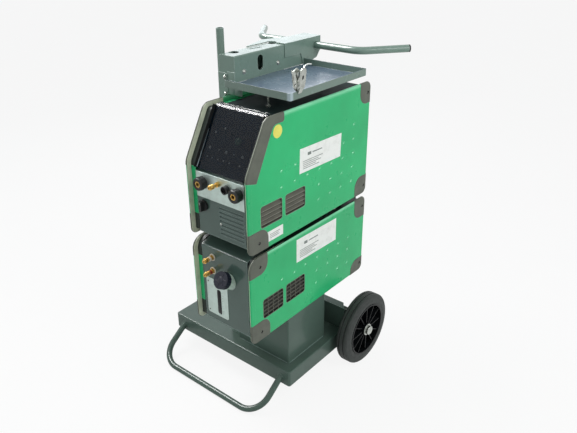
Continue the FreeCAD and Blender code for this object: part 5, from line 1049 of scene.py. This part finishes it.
# Floor: pale and plain, bright to the camera and gloss, with the object's shadow
FLOOR_HALF, FLOOR_GLOW = 12.0, 0.88
floor_z = cad_box[0][2] - 0.0002
floor_data = bpy.data.meshes.new("floor")
corners = [(x * FLOOR_HALF, y * FLOOR_HALF, floor_z) for x, y in ((-1, -1), (1, -1), (1, 1), (-1, 1))]
floor_data.from_pydata(corners, [], [(0, 1, 2, 3)])
floor = bpy.data.objects.new("floor", floor_data)
bpy.context.scene.collection.objects.link(floor)
ground = Shade("floor", (226, 227, 226))
ground.tint(ground.spread(ground.noise(3.0, 3.0), 0.3, 0.7), (232, 232, 231))
ground.finished(Roughness=ground.spread(ground.noise(40.0, 3.0), 0.3, 0.7, 0.75, 0.85),
                Normal=ground.bump(ground.noise(200.0, 3.0), 0.05, 0.0005))
glow_share = ground.times(ground.seen_rays(), FLOOR_GLOW)
ground.put(ground.out.inputs[0], ground.blend(glow_share, ground.bsdf, ground.node("ShaderNodeEmission")))
floor_data.materials.append(ground.mat)

# World: soft light on the object, white to the camera, gloss and glass
scene = bpy.context.scene
scene.view_settings.view_transform = "Standard"
world = bpy.data.worlds.new("studio")
scene.world = world
world.use_nodes = True
sky = Tree(world.node_tree)
soft = sky.node("ShaderNodeBackground", {"Color": (0.93, 0.97, 1.0, 1.0), "Strength": 0.40})
white = sky.node("ShaderNodeBackground", {"Color": (1.0, 1.0, 1.0, 1.0), "Strength": 1.0})
sky.node("ShaderNodeOutputWorld", {0: sky.blend(sky.seen_rays(), soft, white)})


def lamp(name, place, target, size, power, colour=(1.0, 1.0, 1.0), length=None):
    data = bpy.data.lights.new(name, "AREA")
    data.size = size
    if length:
        data.shape = "RECTANGLE"
        data.size_y = length
    data.energy = power
    data.color = colour
    obj = bpy.data.objects.new(name, data)
    scene.collection.objects.link(obj)
    obj.location = place
    obj.rotation_euler = (Vector(target) - Vector(place)).to_track_quat("-Z", "Y").to_euler()
    return obj


lamp("key", (2.3, -0.3, 2.5), (0.1, 0.0, 0.8), 1.2, 20.0)
lamp("side", (2.6, 0.4, 1.6), (0.2, 0.0, 0.9), 1.2, 14.0)
lamp("front", (-0.9, -3.2, 2.2), (0.1, 0.0, 0.6), 1.6, 8.0)
lamp("over", (-1.6, -0.35, 2.8), (0.13, -0.2, 0.9), 1.6, 260.0, length=1.9).visible_diffuse = False
lamp("top", (-1.2, -0.5, 2.9), (0.13, 0.0, 0.9), 1.2, 30.0)
lamp("back", (-2.2, 2.0, 1.9), (0.1, 0.0, 1.1), 1.8, 14.0, (0.86, 0.93, 1.0))

CAMERA_AT = Vector((1.3537, -1.5070, 1.5699))
YAW, PITCH, ROLL = (radians(a) for a in (39.48, 26.34, -0.35))
LENS_PX, IMAGE_W = 622.0, 577
forward = Vector((-sin(YAW) * cos(PITCH), cos(YAW) * cos(PITCH), -sin(PITCH)))
level_right = Vector((cos(YAW), sin(YAW), 0.0))
level_up = level_right.cross(forward)
right = level_right * cos(ROLL) + level_up * sin(ROLL)
up = level_up * cos(ROLL) - level_right * sin(ROLL)
camera_data = bpy.data.cameras.new("camera")
camera_data.sensor_fit = "HORIZONTAL"
camera_data.sensor_width = 36.0
camera_data.lens = LENS_PX / IMAGE_W * camera_data.sensor_width
camera_data.clip_start = 0.05
camera_data.clip_end = 60.0
camera = bpy.data.objects.new("camera", camera_data)
scene.collection.objects.link(camera)
turned_to = Matrix((right, up, -forward)).transposed().to_4x4()
camera.matrix_world = Matrix.Translation(CAMERA_AT) @ turned_to
scene.camera = camera
